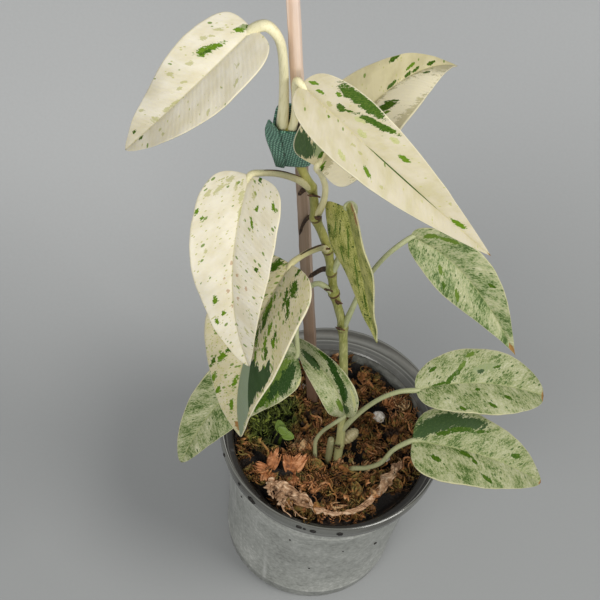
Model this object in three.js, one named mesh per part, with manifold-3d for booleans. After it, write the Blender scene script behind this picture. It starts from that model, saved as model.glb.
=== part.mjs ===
// A young variegated climbing aroid in a small nursery pot, tied to a thin wooden stake.
// Millimetres, +Z up. The origin is the centre of the pot's base, and -Y is the plant's front.

import * as THREE from 'three';
import { mergeVertices } from 'three/addons/utils/BufferGeometryUtils.js';
import Module from 'manifold-3d';

const wasm = await Module();
wasm.setup();

// Driving dimensions

const GAP = 0.3;

const POT_HEIGHT = 88;
const RIM_RADIUS = 45;
const BASE_RADIUS = 33.3;
const POT_WALL = 0.9;
const POT_FLOOR = 1.2;
const COLLAR_HEIGHT = 8;
const COLLAR_STEP = 1.8;
const LEDGE_WIDTH = 3.2;
const POT_SIDES = 36;
const POT_OVAL = 0.02;
const DRAIN_HOLES = 6;
const DRAIN_RADIUS = 3.5;
const DRAIN_CIRCLE = 20;

const SOIL_LEVEL = 77;
const SOIL_RINGS = 6;

const STAKE_WIDTH = 4.2;
const STAKE_CHAMFER = 0.5;
const STAKE_FOOT = [0.3, 16.8, 6];
const STAKE_TOP = [-49.2, 16.8, 350];

const STEM_RADIUS = 1.7;
const STEM_STEPS = 28;

const TIE_CENTRE = [-38.9, 14.8, 267];
const TIE_AXIS = [-0.22, 0, 1];
const TIE_HEIGHT = 22;
const TIE_THICKNESS = 1.2;
const TIE_HALF_WIDTH = 6.4;
const TIE_HALF_DEPTH = 6.4;
const TIE_SQUARENESS = 0.5;
const TIE_TAIL = [[-4, -10.8], [-6.8, -10.8], [-8.6, 5.5], [-8.2, 12], [-5.6, 19], [-3, 11], [-2.5, -6]];
const TIE_SIDES = 24;

const BLADE_THICKNESS = 0.8;
const BLADE_KEEL = 0.7;
const BLADE_ROWS = 11;
const BLADE_COLUMNS = 6;
const PETIOLE_STEPS = 9;

const ROOT_RADIUS = 0.8;
const STUB_RADIUS = 1.4;
const SHEATH_RADIUS = 1.6;
const FRILL_THICKNESS = 1.2;

const UPRIGHT = new THREE.Vector3(0, 0, 1);
const vector = (point) => new THREE.Vector3(...point);
const turnTo = (axis) => new THREE.Quaternion().setFromUnitVectors(UPRIGHT, vector(axis).normalize());
const materialOf = (color, roughness) => new THREE.MeshStandardMaterial({ color, roughness, metalness: 0 });

const plant = new THREE.Group();

// Solids: a closed geometry becomes a manifold body for joining and cutting, and comes back as a geometry

function solid(geometry) {
  const copy = geometry.clone();
  copy.deleteAttribute('normal');
  copy.deleteAttribute('uv');
  const merged = mergeVertices(copy, 1e-4);
  const index = merged.index.array;
  const triangles = [];
  for (let i = 0; i < index.length; i += 3) {
    const [a, b, c] = index.slice(i, i + 3);
    if (a !== b && b !== c && a !== c) {
      triangles.push(a, b, c);
    }
  }
  return new wasm.Manifold(new wasm.Mesh({
    numProp: 3,
    vertProperties: new Float32Array(merged.attributes.position.array),
    triVerts: new Uint32Array(triangles),
  }));
}

function geometryOf(body) {
  const mesh = body.getMesh();
  const geometry = new THREE.BufferGeometry();
  geometry.setAttribute('position', new THREE.BufferAttribute(mesh.vertProperties, 3));
  geometry.setIndex(new THREE.BufferAttribute(mesh.triVerts, 1));
  return geometry;
}

function addPiece(name, body, material) {
  const geometry = geometryOf(body).toNonIndexed();
  geometry.computeVertexNormals();
  const mesh = new THREE.Mesh(geometry, material);
  mesh.name = name;
  plant.add(mesh);
}

// A round bar of regular section along a smooth curve through the points. With grow it is that much
// thicker and runs that much past both ends, as the room round a piece.

function bar(points, radius, sides, steps, grow = 0) {
  const corners = [];
  for (let i = 0; i < sides; i += 1) {
    const angle = (2 * Math.PI * i) / sides;
    corners.push(new THREE.Vector2(Math.cos(angle), Math.sin(angle)).multiplyScalar(radius + grow));
  }
  const line = points.map(vector);
  const first = line[0].clone().sub(line[1]).setLength(grow).add(line[0]);
  const last = line.at(-1).clone().sub(line.at(-2)).setLength(grow).add(line.at(-1));
  const path = new THREE.CatmullRomCurve3([first, ...line.slice(1, -1), last]);
  const options = { steps, bevelEnabled: false, extrudePath: path };
  return solid(new THREE.ExtrudeGeometry(new THREE.Shape(corners), options));
}

// A ball, flattened along the given axis

function knob(centre, radius, flat = 1, axis = [0, 0, 1], grow = 0) {
  const geometry = new THREE.SphereGeometry(1, 8, 6);
  geometry.rotateX(Math.PI / 2);
  geometry.scale(radius + grow, radius + grow, radius * flat + grow);
  geometry.applyQuaternion(turnTo(axis));
  geometry.translate(...centre);
  return solid(geometry);
}

// A thin curved sheet: at(u, w, side) gives a point of its outer (side 1) or inner (side -1) face

function sheet(rows, columns, at) {
  const positions = [];
  const triangles = [];
  const number = (i, j, layer) => (layer * (rows + 1) + i) * (columns + 1) + j;
  for (const side of [1, -1]) {
    for (let i = 0; i <= rows; i += 1) {
      for (let j = 0; j <= columns; j += 1) {
        positions.push(...at(i / rows, j / columns, side).toArray());
      }
    }
  }
  const quad = (a, b, c, d) => triangles.push(a, b, c, a, c, d);
  for (let i = 0; i < rows; i += 1) {
    for (let j = 0; j < columns; j += 1) {
      quad(number(i, j, 0), number(i, j + 1, 0), number(i + 1, j + 1, 0), number(i + 1, j, 0));
      triangles.push(number(i, j, 1), number(i + 1, j + 1, 1), number(i, j + 1, 1));
      triangles.push(number(i, j, 1), number(i + 1, j, 1), number(i + 1, j + 1, 1));
    }
    quad(number(i, 0, 0), number(i + 1, 0, 0), number(i + 1, 0, 1), number(i, 0, 1));
    quad(number(i + 1, columns, 0), number(i, columns, 0), number(i, columns, 1), number(i + 1, columns, 1));
  }
  for (let j = 0; j < columns; j += 1) {
    quad(number(0, j + 1, 0), number(0, j, 0), number(0, j, 1), number(0, j + 1, 1));
    quad(number(rows, j, 0), number(rows, j + 1, 0), number(rows, j + 1, 1), number(rows, j, 1));
  }
  const geometry = new THREE.BufferGeometry();
  geometry.setAttribute('position', new THREE.Float32BufferAttribute(positions, 3));
  geometry.setIndex(triangles);
  return solid(geometry);
}

// Pot: thin tapered wall, a stepped collar at the rim, a flat floor with drain holes.
// The soft wall is squeezed slightly oval towards the rim.

const ledgeZ = POT_HEIGHT - COLLAR_HEIGHT;
const throatRadius = RIM_RADIUS - COLLAR_STEP - LEDGE_WIDTH;

const wallRadius = (z) => BASE_RADIUS + ((throatRadius - BASE_RADIUS) * z) / ledgeZ;
const ovalAt = (z) => 1 + (POT_OVAL * z) / POT_HEIGHT;

function turned(profile) {
  const points = profile.map(([radius, z]) => new THREE.Vector2(radius, z));
  const geometry = new THREE.LatheGeometry(points, POT_SIDES);
  geometry.rotateX(Math.PI / 2);
  const position = geometry.attributes.position;
  for (let i = 0; i < position.count; i += 1) {
    position.setY(i, position.getY(i) * ovalAt(position.getZ(i)));
  }
  return geometry;
}

function potBody() {
  const collarFoot = RIM_RADIUS - COLLAR_STEP / 2;
  let body = solid(turned([
    [0, 0],
    [BASE_RADIUS - 1, 0],
    [wallRadius(1), 1],
    [wallRadius(ledgeZ - POT_WALL), ledgeZ - POT_WALL],
    [collarFoot, ledgeZ],
    [RIM_RADIUS, POT_HEIGHT - POT_WALL / 2],
    [RIM_RADIUS - POT_WALL / 3, POT_HEIGHT],
    [RIM_RADIUS - POT_WALL, POT_HEIGHT],
    [collarFoot - POT_WALL, ledgeZ + POT_WALL],
    [throatRadius - POT_WALL, ledgeZ],
    [wallRadius(POT_FLOOR) - POT_WALL, POT_FLOOR],
    [0, POT_FLOOR],
  ]));
  for (let i = 0; i < DRAIN_HOLES; i += 1) {
    const angle = (2 * Math.PI * i) / DRAIN_HOLES;
    const punch = new THREE.CylinderGeometry(DRAIN_RADIUS, DRAIN_RADIUS, 4 * POT_FLOOR, 10);
    punch.rotateX(Math.PI / 2);
    punch.translate(DRAIN_CIRCLE * Math.cos(angle), DRAIN_CIRCLE * Math.sin(angle), POT_FLOOR / 2);
    body = body.subtract(solid(punch));
  }
  return body;
}

// Substrate: fills the pot to its uneven mossy top

const soilHeight = (x, y) => SOIL_LEVEL
  + 1.2 * Math.sin(0.16 * x + 0.8) * Math.cos(0.19 * y)
  + 0.8 * Math.sin(0.37 * x - 0.31 * y + 1.1)
  - 0.03 * y;

function soilBody() {
  const floorZ = POT_FLOOR + GAP;
  const insideRadius = (z) => wallRadius(z) - POT_WALL - 2 * GAP;
  const profile = [[0, floorZ], [insideRadius(floorZ), floorZ]];
  for (let i = 0; i < SOIL_RINGS; i += 1) {
    profile.push([insideRadius(SOIL_LEVEL) * (1 - i / SOIL_RINGS), SOIL_LEVEL]);
  }
  profile.push([0, SOIL_LEVEL]);
  const geometry = turned(profile);
  const position = geometry.attributes.position;
  for (let i = 0; i < position.count; i += 1) {
    if (position.getZ(i) > SOIL_LEVEL - 1) {
      position.setZ(i, soilHeight(position.getX(i), position.getY(i)));
    }
  }
  return solid(geometry);
}

// Stake: a square wooden stick with chamfered edges, pushed down to the floor of the pot

function stakeBody(grow = 0) {
  const half = STAKE_WIDTH / 2 + grow;
  const flat = half - STAKE_CHAMFER;
  const corners = [[half, -flat], [half, flat], [flat, half], [-flat, half],
    [-half, flat], [-half, -flat], [-flat, -half], [flat, -half]];
  const shape = new THREE.Shape(corners.map(([x, y]) => new THREE.Vector2(x, y)));
  const along = vector(STAKE_TOP).sub(vector(STAKE_FOOT));
  const geometry = new THREE.ExtrudeGeometry(shape, { depth: along.length() + grow, bevelEnabled: false });
  geometry.translate(0, 0, -grow);
  geometry.applyQuaternion(turnTo(along.toArray()));
  geometry.translate(...STAKE_FOOT);
  return solid(geometry);
}

// Main stem: climbs from the front of the pot to the stake, with a swollen ring at every leaf scar
// and a pale bud near the substrate

const STEM_PATH = [[6, -8, 30], [5.5, -8, 60], [4.5, -8, 81], [3.5, -7.5, 98], [1.5, -5, 118], [-1, -3, 136],
  [-5.5, 2, 162], [-9.5, 4, 175], [-12, 5, 182], [-14.5, 7, 192], [-18, 9, 205], [-21, 10, 213],
  [-25, 11, 222], [-27, 12, 232], [-29, 12, 240], [-33, 12, 249], [-38, 12, 262], [-42, 12, 276]];
const STEM_LEAN = [-0.4, 0.2, 1];
const STEM_NODES = [
  { at: [-5.5, 2, 163], radius: 2.4 },
  { at: [-12, 5, 182], radius: 2.4 },
  { at: [-14.5, 7, 193], radius: 2.3 },
  { at: [-18, 9, 205], radius: 2.4 },
  { at: [-25, 11, 222], radius: 2.4 },
  { at: [-29, 12, 240], radius: 2.3 },
  { at: [-42, 12, 275], radius: 2.1 },
];
const NODE_FLATNESS = 0.55;
const BUD = { at: [7.6, -4.5, 93], radius: 2.9, length: 1.2, axis: [1, 1, 0.6] };

function stemBody(grow = 0) {
  let body = bar(STEM_PATH, STEM_RADIUS, 8, STEM_STEPS, grow);
  for (const node of STEM_NODES) {
    body = body.add(knob(node.at, node.radius, NODE_FLATNESS, STEM_LEAN, grow));
  }
  return body.add(knob(BUD.at, BUD.radius, BUD.length, BUD.axis, grow));
}

// Leaf: a blade with two lobes at its foot and a drawn-out tip, on its own petiole, grown as one piece.
// Along the blade s runs from the foot to the tip, and across it v runs from one margin to the other.
// The belly says how far along the blade is widest, sharp how pointed its ends are, and skew how much
// wider one half is than the other.

function outlineAcross(leaf, s, sharp) {
  const power = Math.log(0.5) / Math.log(leaf.belly);
  return Math.max(0, Math.sin(Math.PI * s ** power)) ** sharp;
}

function bladePoint(leaf, s, v) {
  const foot = vector(leaf.foot);
  const tip = vector(leaf.tip);
  const pull = vector(leaf.crown).multiplyScalar(2).sub(foot.clone().add(tip).multiplyScalar(0.5));
  const spine = new THREE.QuadraticBezierCurve3(foot, pull, tip);
  const forward = spine.getTangent(s);
  const side = forward.clone().cross(vector(leaf.face)).normalize();
  const up = side.clone().cross(forward);
  const fold = THREE.MathUtils.degToRad(leaf.fold);
  const width = leaf.halfWidth * (1 + leaf.skew * v) * outlineAcross(leaf, s, leaf.sharp);
  const back = -leaf.lobe * s * (1 - s) ** 6 * foot.distanceTo(tip) * Math.abs(v);
  const ripple = Math.sin(2 * Math.PI * (2.2 * s + 0.35 * Math.sign(v))) * Math.sin(Math.PI * s);
  const lift = Math.abs(v) * width * Math.sin(fold) + (leaf.wave * ripple - leaf.curl * width) * v * v;
  return {
    up,
    point: spine.getPoint(s)
      .addScaledVector(forward, back)
      .addScaledVector(side, v * width * Math.cos(fold))
      .addScaledVector(up, lift),
  };
}

function bladeBody(leaf) {
  return sheet(BLADE_ROWS, BLADE_COLUMNS, (u, w, side) => {
    const s = u ** 1.3;
    const v = u === 0 || u === 1 ? 0 : 2 * w - 1;
    const keel = side < 0 && v === 0 ? BLADE_KEEL * (1 - s) : 0;
    const { point, up } = bladePoint(leaf, s, v);
    return point.addScaledVector(up, side * (BLADE_THICKNESS / 2 + keel));
  });
}

function petioleBody(leaf, grow = 0) {
  const { point, up } = bladePoint(leaf, 0.05, 0);
  const end = point.addScaledVector(up, -leaf.petioleRadius * 0.7);
  return bar([...leaf.petiole, leaf.foot, end.toArray()], leaf.petioleRadius, 6, PETIOLE_STEPS, grow);
}

const CREAM = 0xdcd2a9;
const SPECKLED = 0xa3b183;
const leafDefaults = { curl: 0.12, wave: 0.8, skew: 0, color: CREAM, rooted: false };

const LEAVES = [
  {
    name: 'leaf_01',
    petiole: [[-43.8, 12.3, 275], [-45, 11.5, 293], [-47.5, 9.5, 318], [-50.5, 10, 331], [-55.5, 11, 336]],
    petioleRadius: 1.6,
    foot: [-60, 10.5, 333],
    crown: [-77, -11.5, 319],
    tip: [-94.5, -22, 291],
    face: [-0.39, -0.55, 0.74],
    halfWidth: 15.5,
    fold: 22,
    belly: 0.31,
    sharp: 0.75,
    lobe: 1,
  },
  {
    name: 'leaf_02',
    petiole: [[-40, 11.6, 275], [-40, 11.2, 283], [-40.8, 10.5, 295], [-42, 9.5, 306], [-41.8, 8, 312]],
    petioleRadius: 1.5,
    foot: [-40, 6.5, 312.5],
    crown: [-2.5, -9, 296.5],
    tip: [38.5, -16, 266.5],
    face: [0.29, -0.56, 0.77],
    halfWidth: 13.5,
    fold: 26,
    belly: 0.3,
    sharp: 0.9,
    lobe: 0.6,
  },
  {
    name: 'leaf_03',
    petiole: [[-25, 11, 222], [-23.5, 10, 235], [-24, 8.5, 248], [-26.5, 4.5, 262]],
    petioleRadius: 1.3,
    foot: [-28.5, 0.5, 272.5],
    crown: [-8, 32.5, 286],
    tip: [13, 56.5, 272],
    face: [0.01, 0, 1],
    halfWidth: 17.5,
    fold: 28,
    belly: 0.25,
    sharp: 1.1,
    lobe: 2.2,
    skew: 0.14,
  },
  {
    name: 'leaf_04',
    petiole: [[-29, 12, 240], [-35, 8.5, 249], [-41.5, 2, 260], [-47, -3, 266]],
    petioleRadius: 1.4,
    foot: [-51, -6, 267.5],
    crown: [-49, -36, 244.5],
    tip: [-36.5, -49.5, 209.5],
    face: [-0.2, -0.81, 0.55],
    halfWidth: 17,
    fold: 20,
    belly: 0.27,
    sharp: 0.82,
    lobe: 0.8,
  },
  {
    name: 'leaf_05',
    petiole: [[-18, 9, 205], [-20.5, 5, 212], [-23.5, -1, 218.5], [-27, -9, 226]],
    petioleRadius: 1.3,
    foot: [-30, -14.5, 228],
    crown: [-39, -45, 205.5],
    tip: [-34, -59.5, 174],
    face: [-0.62, -0.58, 0.52],
    halfWidth: 21.5,
    fold: 18,
    belly: 0.27,
    sharp: 0.88,
    lobe: 0.9,
  },
  {
    name: 'leaf_06',
    petiole: [[-14.5, 7, 193], [-12.5, 9.5, 206], [-11.5, 11.5, 220], [-11.5, 12, 232], [-13.5, 11, 237]],
    petioleRadius: 1.2,
    foot: [-15, 9, 237],
    crown: [-4.5, -5, 219.5],
    tip: [7.5, -16.5, 189.5],
    face: [-0.74, -0.67, 0.01],
    halfWidth: 15,
    fold: 18,
    belly: 0.29,
    sharp: 0.97,
    lobe: 2.1,
    color: SPECKLED,
  },
  {
    name: 'leaf_07',
    petiole: [[-5.5, 2, 163], [-3.5, 4.5, 179], [-1.5, 7.5, 192], [4, 12.5, 205]],
    petioleRadius: 1.1,
    foot: [11.5, 18, 212.5],
    crown: [35.5, 11, 203.5],
    tip: [60, -0.5, 176],
    face: [0.16, -0.78, 0.61],
    halfWidth: 11.5,
    fold: 22,
    belly: 0.44,
    sharp: 1.1,
    lobe: 1.2,
    color: SPECKLED,
  },
  {
    name: 'leaf_08',
    petiole: [[3.2, -7.2, 100], [6.5, -7.5, 112], [10.5, -7, 122.5], [15.5, -6.5, 132], [21.5, -5.5, 138]],
    petioleRadius: 1.1,
    foot: [27.5, -4.5, 140],
    crown: [51, 3.5, 142.5],
    tip: [77, 11, 130.5],
    face: [0.22, -0.12, 0.97],
    halfWidth: 14,
    fold: 16,
    belly: 0.5,
    sharp: 0.51,
    lobe: 0.6,
    color: SPECKLED,
  },
  {
    name: 'leaf_09',
    petiole: [[9.5, -10.5, 66], [10.5, -12, 79], [16.5, -14, 87], [21.5, -15, 96], [25, -14, 107]],
    petioleRadius: 1.1,
    foot: [31, -12.5, 114.5],
    crown: [60, -11.5, 113.5],
    tip: [84.5, -10.5, 100.5],
    face: [0.25, -0.17, 0.95],
    halfWidth: 16,
    fold: 16,
    belly: 0.3,
    sharp: 0.67,
    lobe: 0.6,
    color: SPECKLED,
    rooted: true,
  },
  {
    name: 'leaf_10',
    petiole: [[-12, 5, 182], [-19, 3, 189.5], [-23, -5, 192], [-23, -15.5, 186.5]],
    petioleRadius: 1.1,
    foot: [-20.5, -22.5, 178],
    crown: [-42.5, -36, 162],
    tip: [-54.5, -51, 127.5],
    face: [0, -0.87, 0.49],
    halfWidth: 14.5,
    fold: 22,
    belly: 0.29,
    sharp: 0.63,
    lobe: 0.6,
    color: SPECKLED,
  },
  {
    name: 'leaf_11',
    petiole: [[-3.5, -10, 66], [-4.5, -9.5, 80], [-5.5, -9.3, 91], [-3.7, -9.2, 100], [-0.5, -10, 109]],
    petioleRadius: 0.9,
    foot: [3.2, -8.8, 115.5],
    crown: [-5, -7.2, 136],
    tip: [-24, 12, 131],
    face: [-0.02, -0.6, 0.8],
    halfWidth: 8,
    fold: 30,
    belly: 0.42,
    sharp: 0.72,
    lobe: 0.5,
    color: SPECKLED,
    rooted: true,
  },
].map((leaf) => ({ ...leafDefaults, ...leaf }));

// Tie: one turn of soft tape round the stem and the stake, with its tail pressed on at the front left

function tieOutline(halfWidth, halfDepth) {
  const points = [];
  for (let i = 0; i < TIE_SIDES; i += 1) {
    const angle = (2 * Math.PI * i) / TIE_SIDES;
    const x = Math.sign(Math.cos(angle)) * Math.abs(Math.cos(angle)) ** TIE_SQUARENESS;
    const y = Math.sign(Math.sin(angle)) * Math.abs(Math.sin(angle)) ** TIE_SQUARENESS;
    points.push(new THREE.Vector2(halfWidth * x, halfDepth * y));
  }
  return points;
}

function tieBody() {
  const ring = new THREE.Shape(tieOutline(TIE_HALF_WIDTH, TIE_HALF_DEPTH));
  const inside = tieOutline(TIE_HALF_WIDTH - TIE_THICKNESS, TIE_HALF_DEPTH - TIE_THICKNESS);
  ring.holes.push(new THREE.Path(inside.reverse()));
  const band = new THREE.ExtrudeGeometry(ring, { depth: TIE_HEIGHT, bevelEnabled: false });
  band.translate(0, 0, -TIE_HEIGHT / 2);
  const tail = new THREE.Shape(TIE_TAIL.map(([x, z]) => new THREE.Vector2(x, z)));
  const flap = new THREE.ExtrudeGeometry(tail, { depth: TIE_THICKNESS, bevelEnabled: false });
  flap.rotateX(Math.PI / 2);
  flap.translate(0, TIE_THICKNESS - TIE_HALF_DEPTH, 0);
  const joined = geometryOf(solid(band).add(solid(flap)));
  joined.applyQuaternion(turnTo(TIE_AXIS));
  joined.translate(...TIE_CENTRE);
  return solid(joined);
}

// Aerial roots that reach from the stem to the stake, a cut petiole, and what lies on the moss

const AERIAL_ROOTS = [
  [[-25, 12.5, 220.5], [-27.5, 13.3, 217.5], [-29, 13.3, 212], [-29.5, 13.2, 204]],
  [[-15.5, 8, 193], [-18.5, 11.5, 186], [-22.6, 13.5, 175]],
  [[-29.5, 12.8, 238.5], [-31.5, 13.4, 235], [-33, 13.3, 231]],
];
const STUB = [[1.2, -8.2, 66], [1, -8.3, 79], [0.3, -8.5, 94]];
const DRIED_SHEATH = [[-18, -31.5, 79.5], [-13, -32.5, 81.5], [-7, -32, 80], [0, -31, 81.5], [6, -32, 80],
  [13, -31, 81.5], [20, -28, 80], [25, -22, 82], [28, -14, 80.5], [30, -7, 81]];
const SEEDLING = [[-19.5, -5.5, 73], [-19.2, -5.8, 80], [-18, -7, 86]];
const SEEDLING_LEAVES = [
  { at: [-16.6, -7.5, 86.5], radius: 2.4, axis: [0.3, -0.4, 1] },
  { at: [-19.2, -5.9, 86.8], radius: 2.1, axis: [-0.4, -0.2, 1] },
];
const PERLITE = [
  { at: [17.5, 14.5, 78.5], radius: 2.4 },
  { at: [-15, 20.5, 77], radius: 1.7 },
  { at: [24, -3, 78], radius: 1.3 },
];

// Frills: dead, ruffled scraps of foliage that stand half buried in the moss

const FRILLS = [
  { at: [-20.5, -17, 75], height: 8, radius: 1.7, flare: 1.1, from: 150, sweep: 200, waves: 3 },
  { at: [-12, -15.5, 75], height: 9, radius: 2.4, flare: 2, from: 140, sweep: 230, waves: 4 },
];

function frillBody(frill, grow = 0) {
  const spare = grow / frill.radius;
  const from = THREE.MathUtils.degToRad(frill.from) - spare;
  const sweep = THREE.MathUtils.degToRad(frill.sweep) + 2 * spare;
  return sheet(3, 16, (rise, around, side) => {
    const angle = from + sweep * around;
    const ruffle = 0.6 * rise * Math.sin(2 * Math.PI * frill.waves * around);
    const radius = frill.radius + frill.flare * rise ** 2 + ruffle + side * (FRILL_THICKNESS / 2 + grow);
    const edge = 0.7 * rise * Math.sin(2 * Math.PI * (frill.waves + 2) * around);
    const [x, y, z] = frill.at;
    const height = (frill.height + 2 * grow) * rise - grow + edge;
    return new THREE.Vector3(x + radius * Math.cos(angle), y + radius * Math.sin(angle), z + height);
  });
}

function seedlingBody(grow = 0) {
  let body = bar(SEEDLING, ROOT_RADIUS, 6, 6, grow);
  for (const { at, radius, axis } of SEEDLING_LEAVES) {
    body = body.add(knob(at, radius, 0.4, axis, grow));
  }
  return body;
}

// Assembly: each buried piece cuts its own hole in the substrate, a gap wider than the piece

const stemRoom = stemBody(GAP);
const stakeRoom = stakeBody(GAP);
const stub = (grow) => bar(STUB, STUB_RADIUS, 8, 6, grow);
const driedSheath = (grow) => bar(DRIED_SHEATH, SHEATH_RADIUS, 6, 22, grow);

const rooms = [stemRoom, stakeRoom, stub(GAP), driedSheath(GAP), seedlingBody(GAP)];
LEAVES.filter(({ rooted }) => rooted).forEach((leaf) => rooms.push(petioleBody(leaf, GAP)));
FRILLS.forEach((frill) => rooms.push(frillBody(frill, GAP)));
PERLITE.forEach(({ at, radius }) => rooms.push(knob(at, radius + GAP)));
const substrate = rooms.reduce((soil, room) => soil.subtract(room), soilBody());

addPiece('pot', potBody(), materialOf(0xa9aaa8, 0.35));
addPiece('substrate', substrate, materialOf(0x5a3a22, 0.95));
addPiece('stake', stakeBody(), materialOf(0xe2c8b0, 0.8));
addPiece('stem', stemBody(), materialOf(0x96905a, 0.55));
addPiece('tie', tieBody(), materialOf(0x3c6e5a, 0.9));

LEAVES.forEach((leaf) => {
  const body = bladeBody(leaf).add(petioleBody(leaf)).subtract(stemRoom);
  addPiece(leaf.name, body, materialOf(leaf.color, 0.5));
});

AERIAL_ROOTS.forEach((points, i) => {
  const body = bar(points, ROOT_RADIUS, 6, 6).subtract(stemRoom).subtract(stakeRoom);
  addPiece(`aerial_root_${i + 1}`, body, materialOf(0x35230d, 0.85));
});

addPiece('petiole_stub', stub(), materialOf(0x8b8a5e, 0.6));
addPiece('dried_sheath', driedSheath(), materialOf(0xb08d66, 0.9));
FRILLS.forEach((frill, i) => {
  addPiece(`moss_frill_${i + 1}`, frillBody(frill), materialOf(0xb4744a, 0.9));
});
addPiece('seedling', seedlingBody(), materialOf(0x6f8f2e, 0.6));
PERLITE.forEach(({ at, radius }, i) => {
  addPiece(`perlite_${i + 1}`, knob(at, radius), materialOf(0xd8d5ca, 0.9));
});

export default plant;
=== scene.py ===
import math
import random

import bmesh
import bpy
from mathutils import Matrix, Vector, noise


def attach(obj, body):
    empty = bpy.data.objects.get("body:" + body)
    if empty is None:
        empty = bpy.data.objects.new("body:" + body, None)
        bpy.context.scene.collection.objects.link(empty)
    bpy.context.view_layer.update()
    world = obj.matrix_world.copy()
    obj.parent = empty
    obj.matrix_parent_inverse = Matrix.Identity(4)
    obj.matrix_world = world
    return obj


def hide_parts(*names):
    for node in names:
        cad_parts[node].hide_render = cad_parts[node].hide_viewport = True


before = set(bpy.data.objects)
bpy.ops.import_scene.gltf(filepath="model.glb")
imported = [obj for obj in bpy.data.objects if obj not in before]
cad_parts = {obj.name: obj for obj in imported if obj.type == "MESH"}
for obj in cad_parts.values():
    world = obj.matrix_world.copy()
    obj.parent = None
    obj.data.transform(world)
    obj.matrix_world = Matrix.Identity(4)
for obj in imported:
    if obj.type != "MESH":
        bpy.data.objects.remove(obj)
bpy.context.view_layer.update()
bpy.ops.object.select_all(action="DESELECT")

MM = 0.001


# Camera. The photograph looks steeply down on the plant from in front, through a
# long lens, with the camera turned a little on its own axis.
CAMERA_PLACE = (-23.93, -688.95, 1349.48)
CAMERA_TILT = 30.5
CAMERA_TURN = 12.75
SENSOR_WIDTH = 36
FOCAL_LENGTH = 216

bpy.ops.object.camera_add()
camera = bpy.context.object
camera.matrix_world = (
    Matrix.Translation(Vector(CAMERA_PLACE) * MM)
    @ Matrix.Rotation(math.radians(CAMERA_TILT), 4, "X")
    @ Matrix.Rotation(math.radians(CAMERA_TURN), 4, "Z")
)
camera.data.sensor_width = SENSOR_WIDTH
camera.data.lens = FOCAL_LENGTH
camera.data.clip_start = 0.1
camera.data.clip_end = 12
bpy.context.scene.camera = camera


# Studio. A plain pale grey table, a wide soft lamp in front of the plant, a weaker one
# high on its right, and an even fill. The shadows are soft and fall behind and to the left.
def srgb(code):
    """Turns a hex colour as it is seen into the linear colour that a shader takes."""
    seen = [int(code[i:i + 2], 16) / 255 for i in (1, 3, 5)]
    linear = [c / 12.92 if c <= 0.04045 else ((c + 0.055) / 1.055) ** 2.4 for c in seen]
    return (*linear, 1)


def add_node(tree, kind, inputs=None, stops=(), **settings):
    """Adds a shader node, sets its settings, and gives its inputs values, nodes or sockets."""
    made = tree.nodes.new("ShaderNode" + kind)
    for name, value in settings.items():
        setattr(made, name, value)
    for name, value in (inputs or {}).items():
        if isinstance(value, bpy.types.Node):
            value = value.outputs[0]
        if isinstance(value, bpy.types.NodeSocket):
            tree.links.new(value, made.inputs[name])
        else:
            made.inputs[name].default_value = value
    for i, (place, colour) in enumerate(stops):
        stop = made.color_ramp.elements[i] if i < 2 else made.color_ramp.elements.new(place)
        stop.position = place
        stop.color = srgb(colour)
    return made


def new_material(name):
    """Starts an empty material and gives it back with its node tree."""
    material = bpy.data.materials.new(name)
    material.use_nodes = True
    material.node_tree.nodes.clear()
    return material, material.node_tree


def finish_material(tree, colour, roughness, bump=None, depth=0.0, **shader):
    """Ends a node tree in one shader, with a bump of so many millimetres, and its output."""
    surface = {"Base Color": colour, "Roughness": roughness}
    surface.update({name.replace("_", " "): value for name, value in shader.items()})
    if bump is not None:
        surface["Normal"] = add_node(
            tree, "Bump", {"Height": bump, "Strength": 1.0, "Distance": depth * MM})
    ended = add_node(tree, "BsdfPrincipled", surface)
    add_node(tree, "OutputMaterial", {"Surface": ended})


def mix_colour(tree, share, under, over):
    """Lays one colour over another by a share from 0 to 1, and gives back the colour."""
    under = srgb(under) if isinstance(under, str) else under
    over = srgb(over) if isinstance(over, str) else over
    return add_node(tree, "Mix", {0: share, 6: under, 7: over}, data_type="RGBA").outputs[2]


FILL_STRENGTH = 0.38
LAMP_TINT = "#fffdf9"
LAMP_GOAL = Vector((0, 0, 0.12))
# Each lamp: its name, the way it shines, its width and distance in metres, and its watts.
LAMPS = [
    ("front_softbox", Vector((0.14, 0.74, -0.66)), 0.9, 1.4, 9.3),
    ("side_softbox", Vector((-0.54, 0.18, -0.81)), 0.5, 1.1, 6.2),
]

bpy.context.scene.view_settings.view_transform = "Standard"
world = bpy.data.worlds.new("even_fill")
world.use_nodes = True
fill = world.node_tree.nodes["Background"].inputs
fill["Color"].default_value = srgb("#fbfcff")
fill["Strength"].default_value = FILL_STRENGTH
bpy.context.scene.world = world

for name, aim, size, away, power in LAMPS:
    aim.normalize()
    bpy.ops.object.light_add(type="AREA", location=LAMP_GOAL - aim * away)
    lamp = bpy.context.object
    lamp.name = name
    lamp.rotation_euler = aim.to_track_quat("-Z", "Y").to_euler()
    lamp.data.shape = "DISK"
    lamp.data.size = size
    lamp.data.energy = power
    lamp.data.color = srgb(LAMP_TINT)[:3]

bpy.ops.mesh.primitive_plane_add(size=5)
table = bpy.context.object
table.name = "studio_table"

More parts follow.
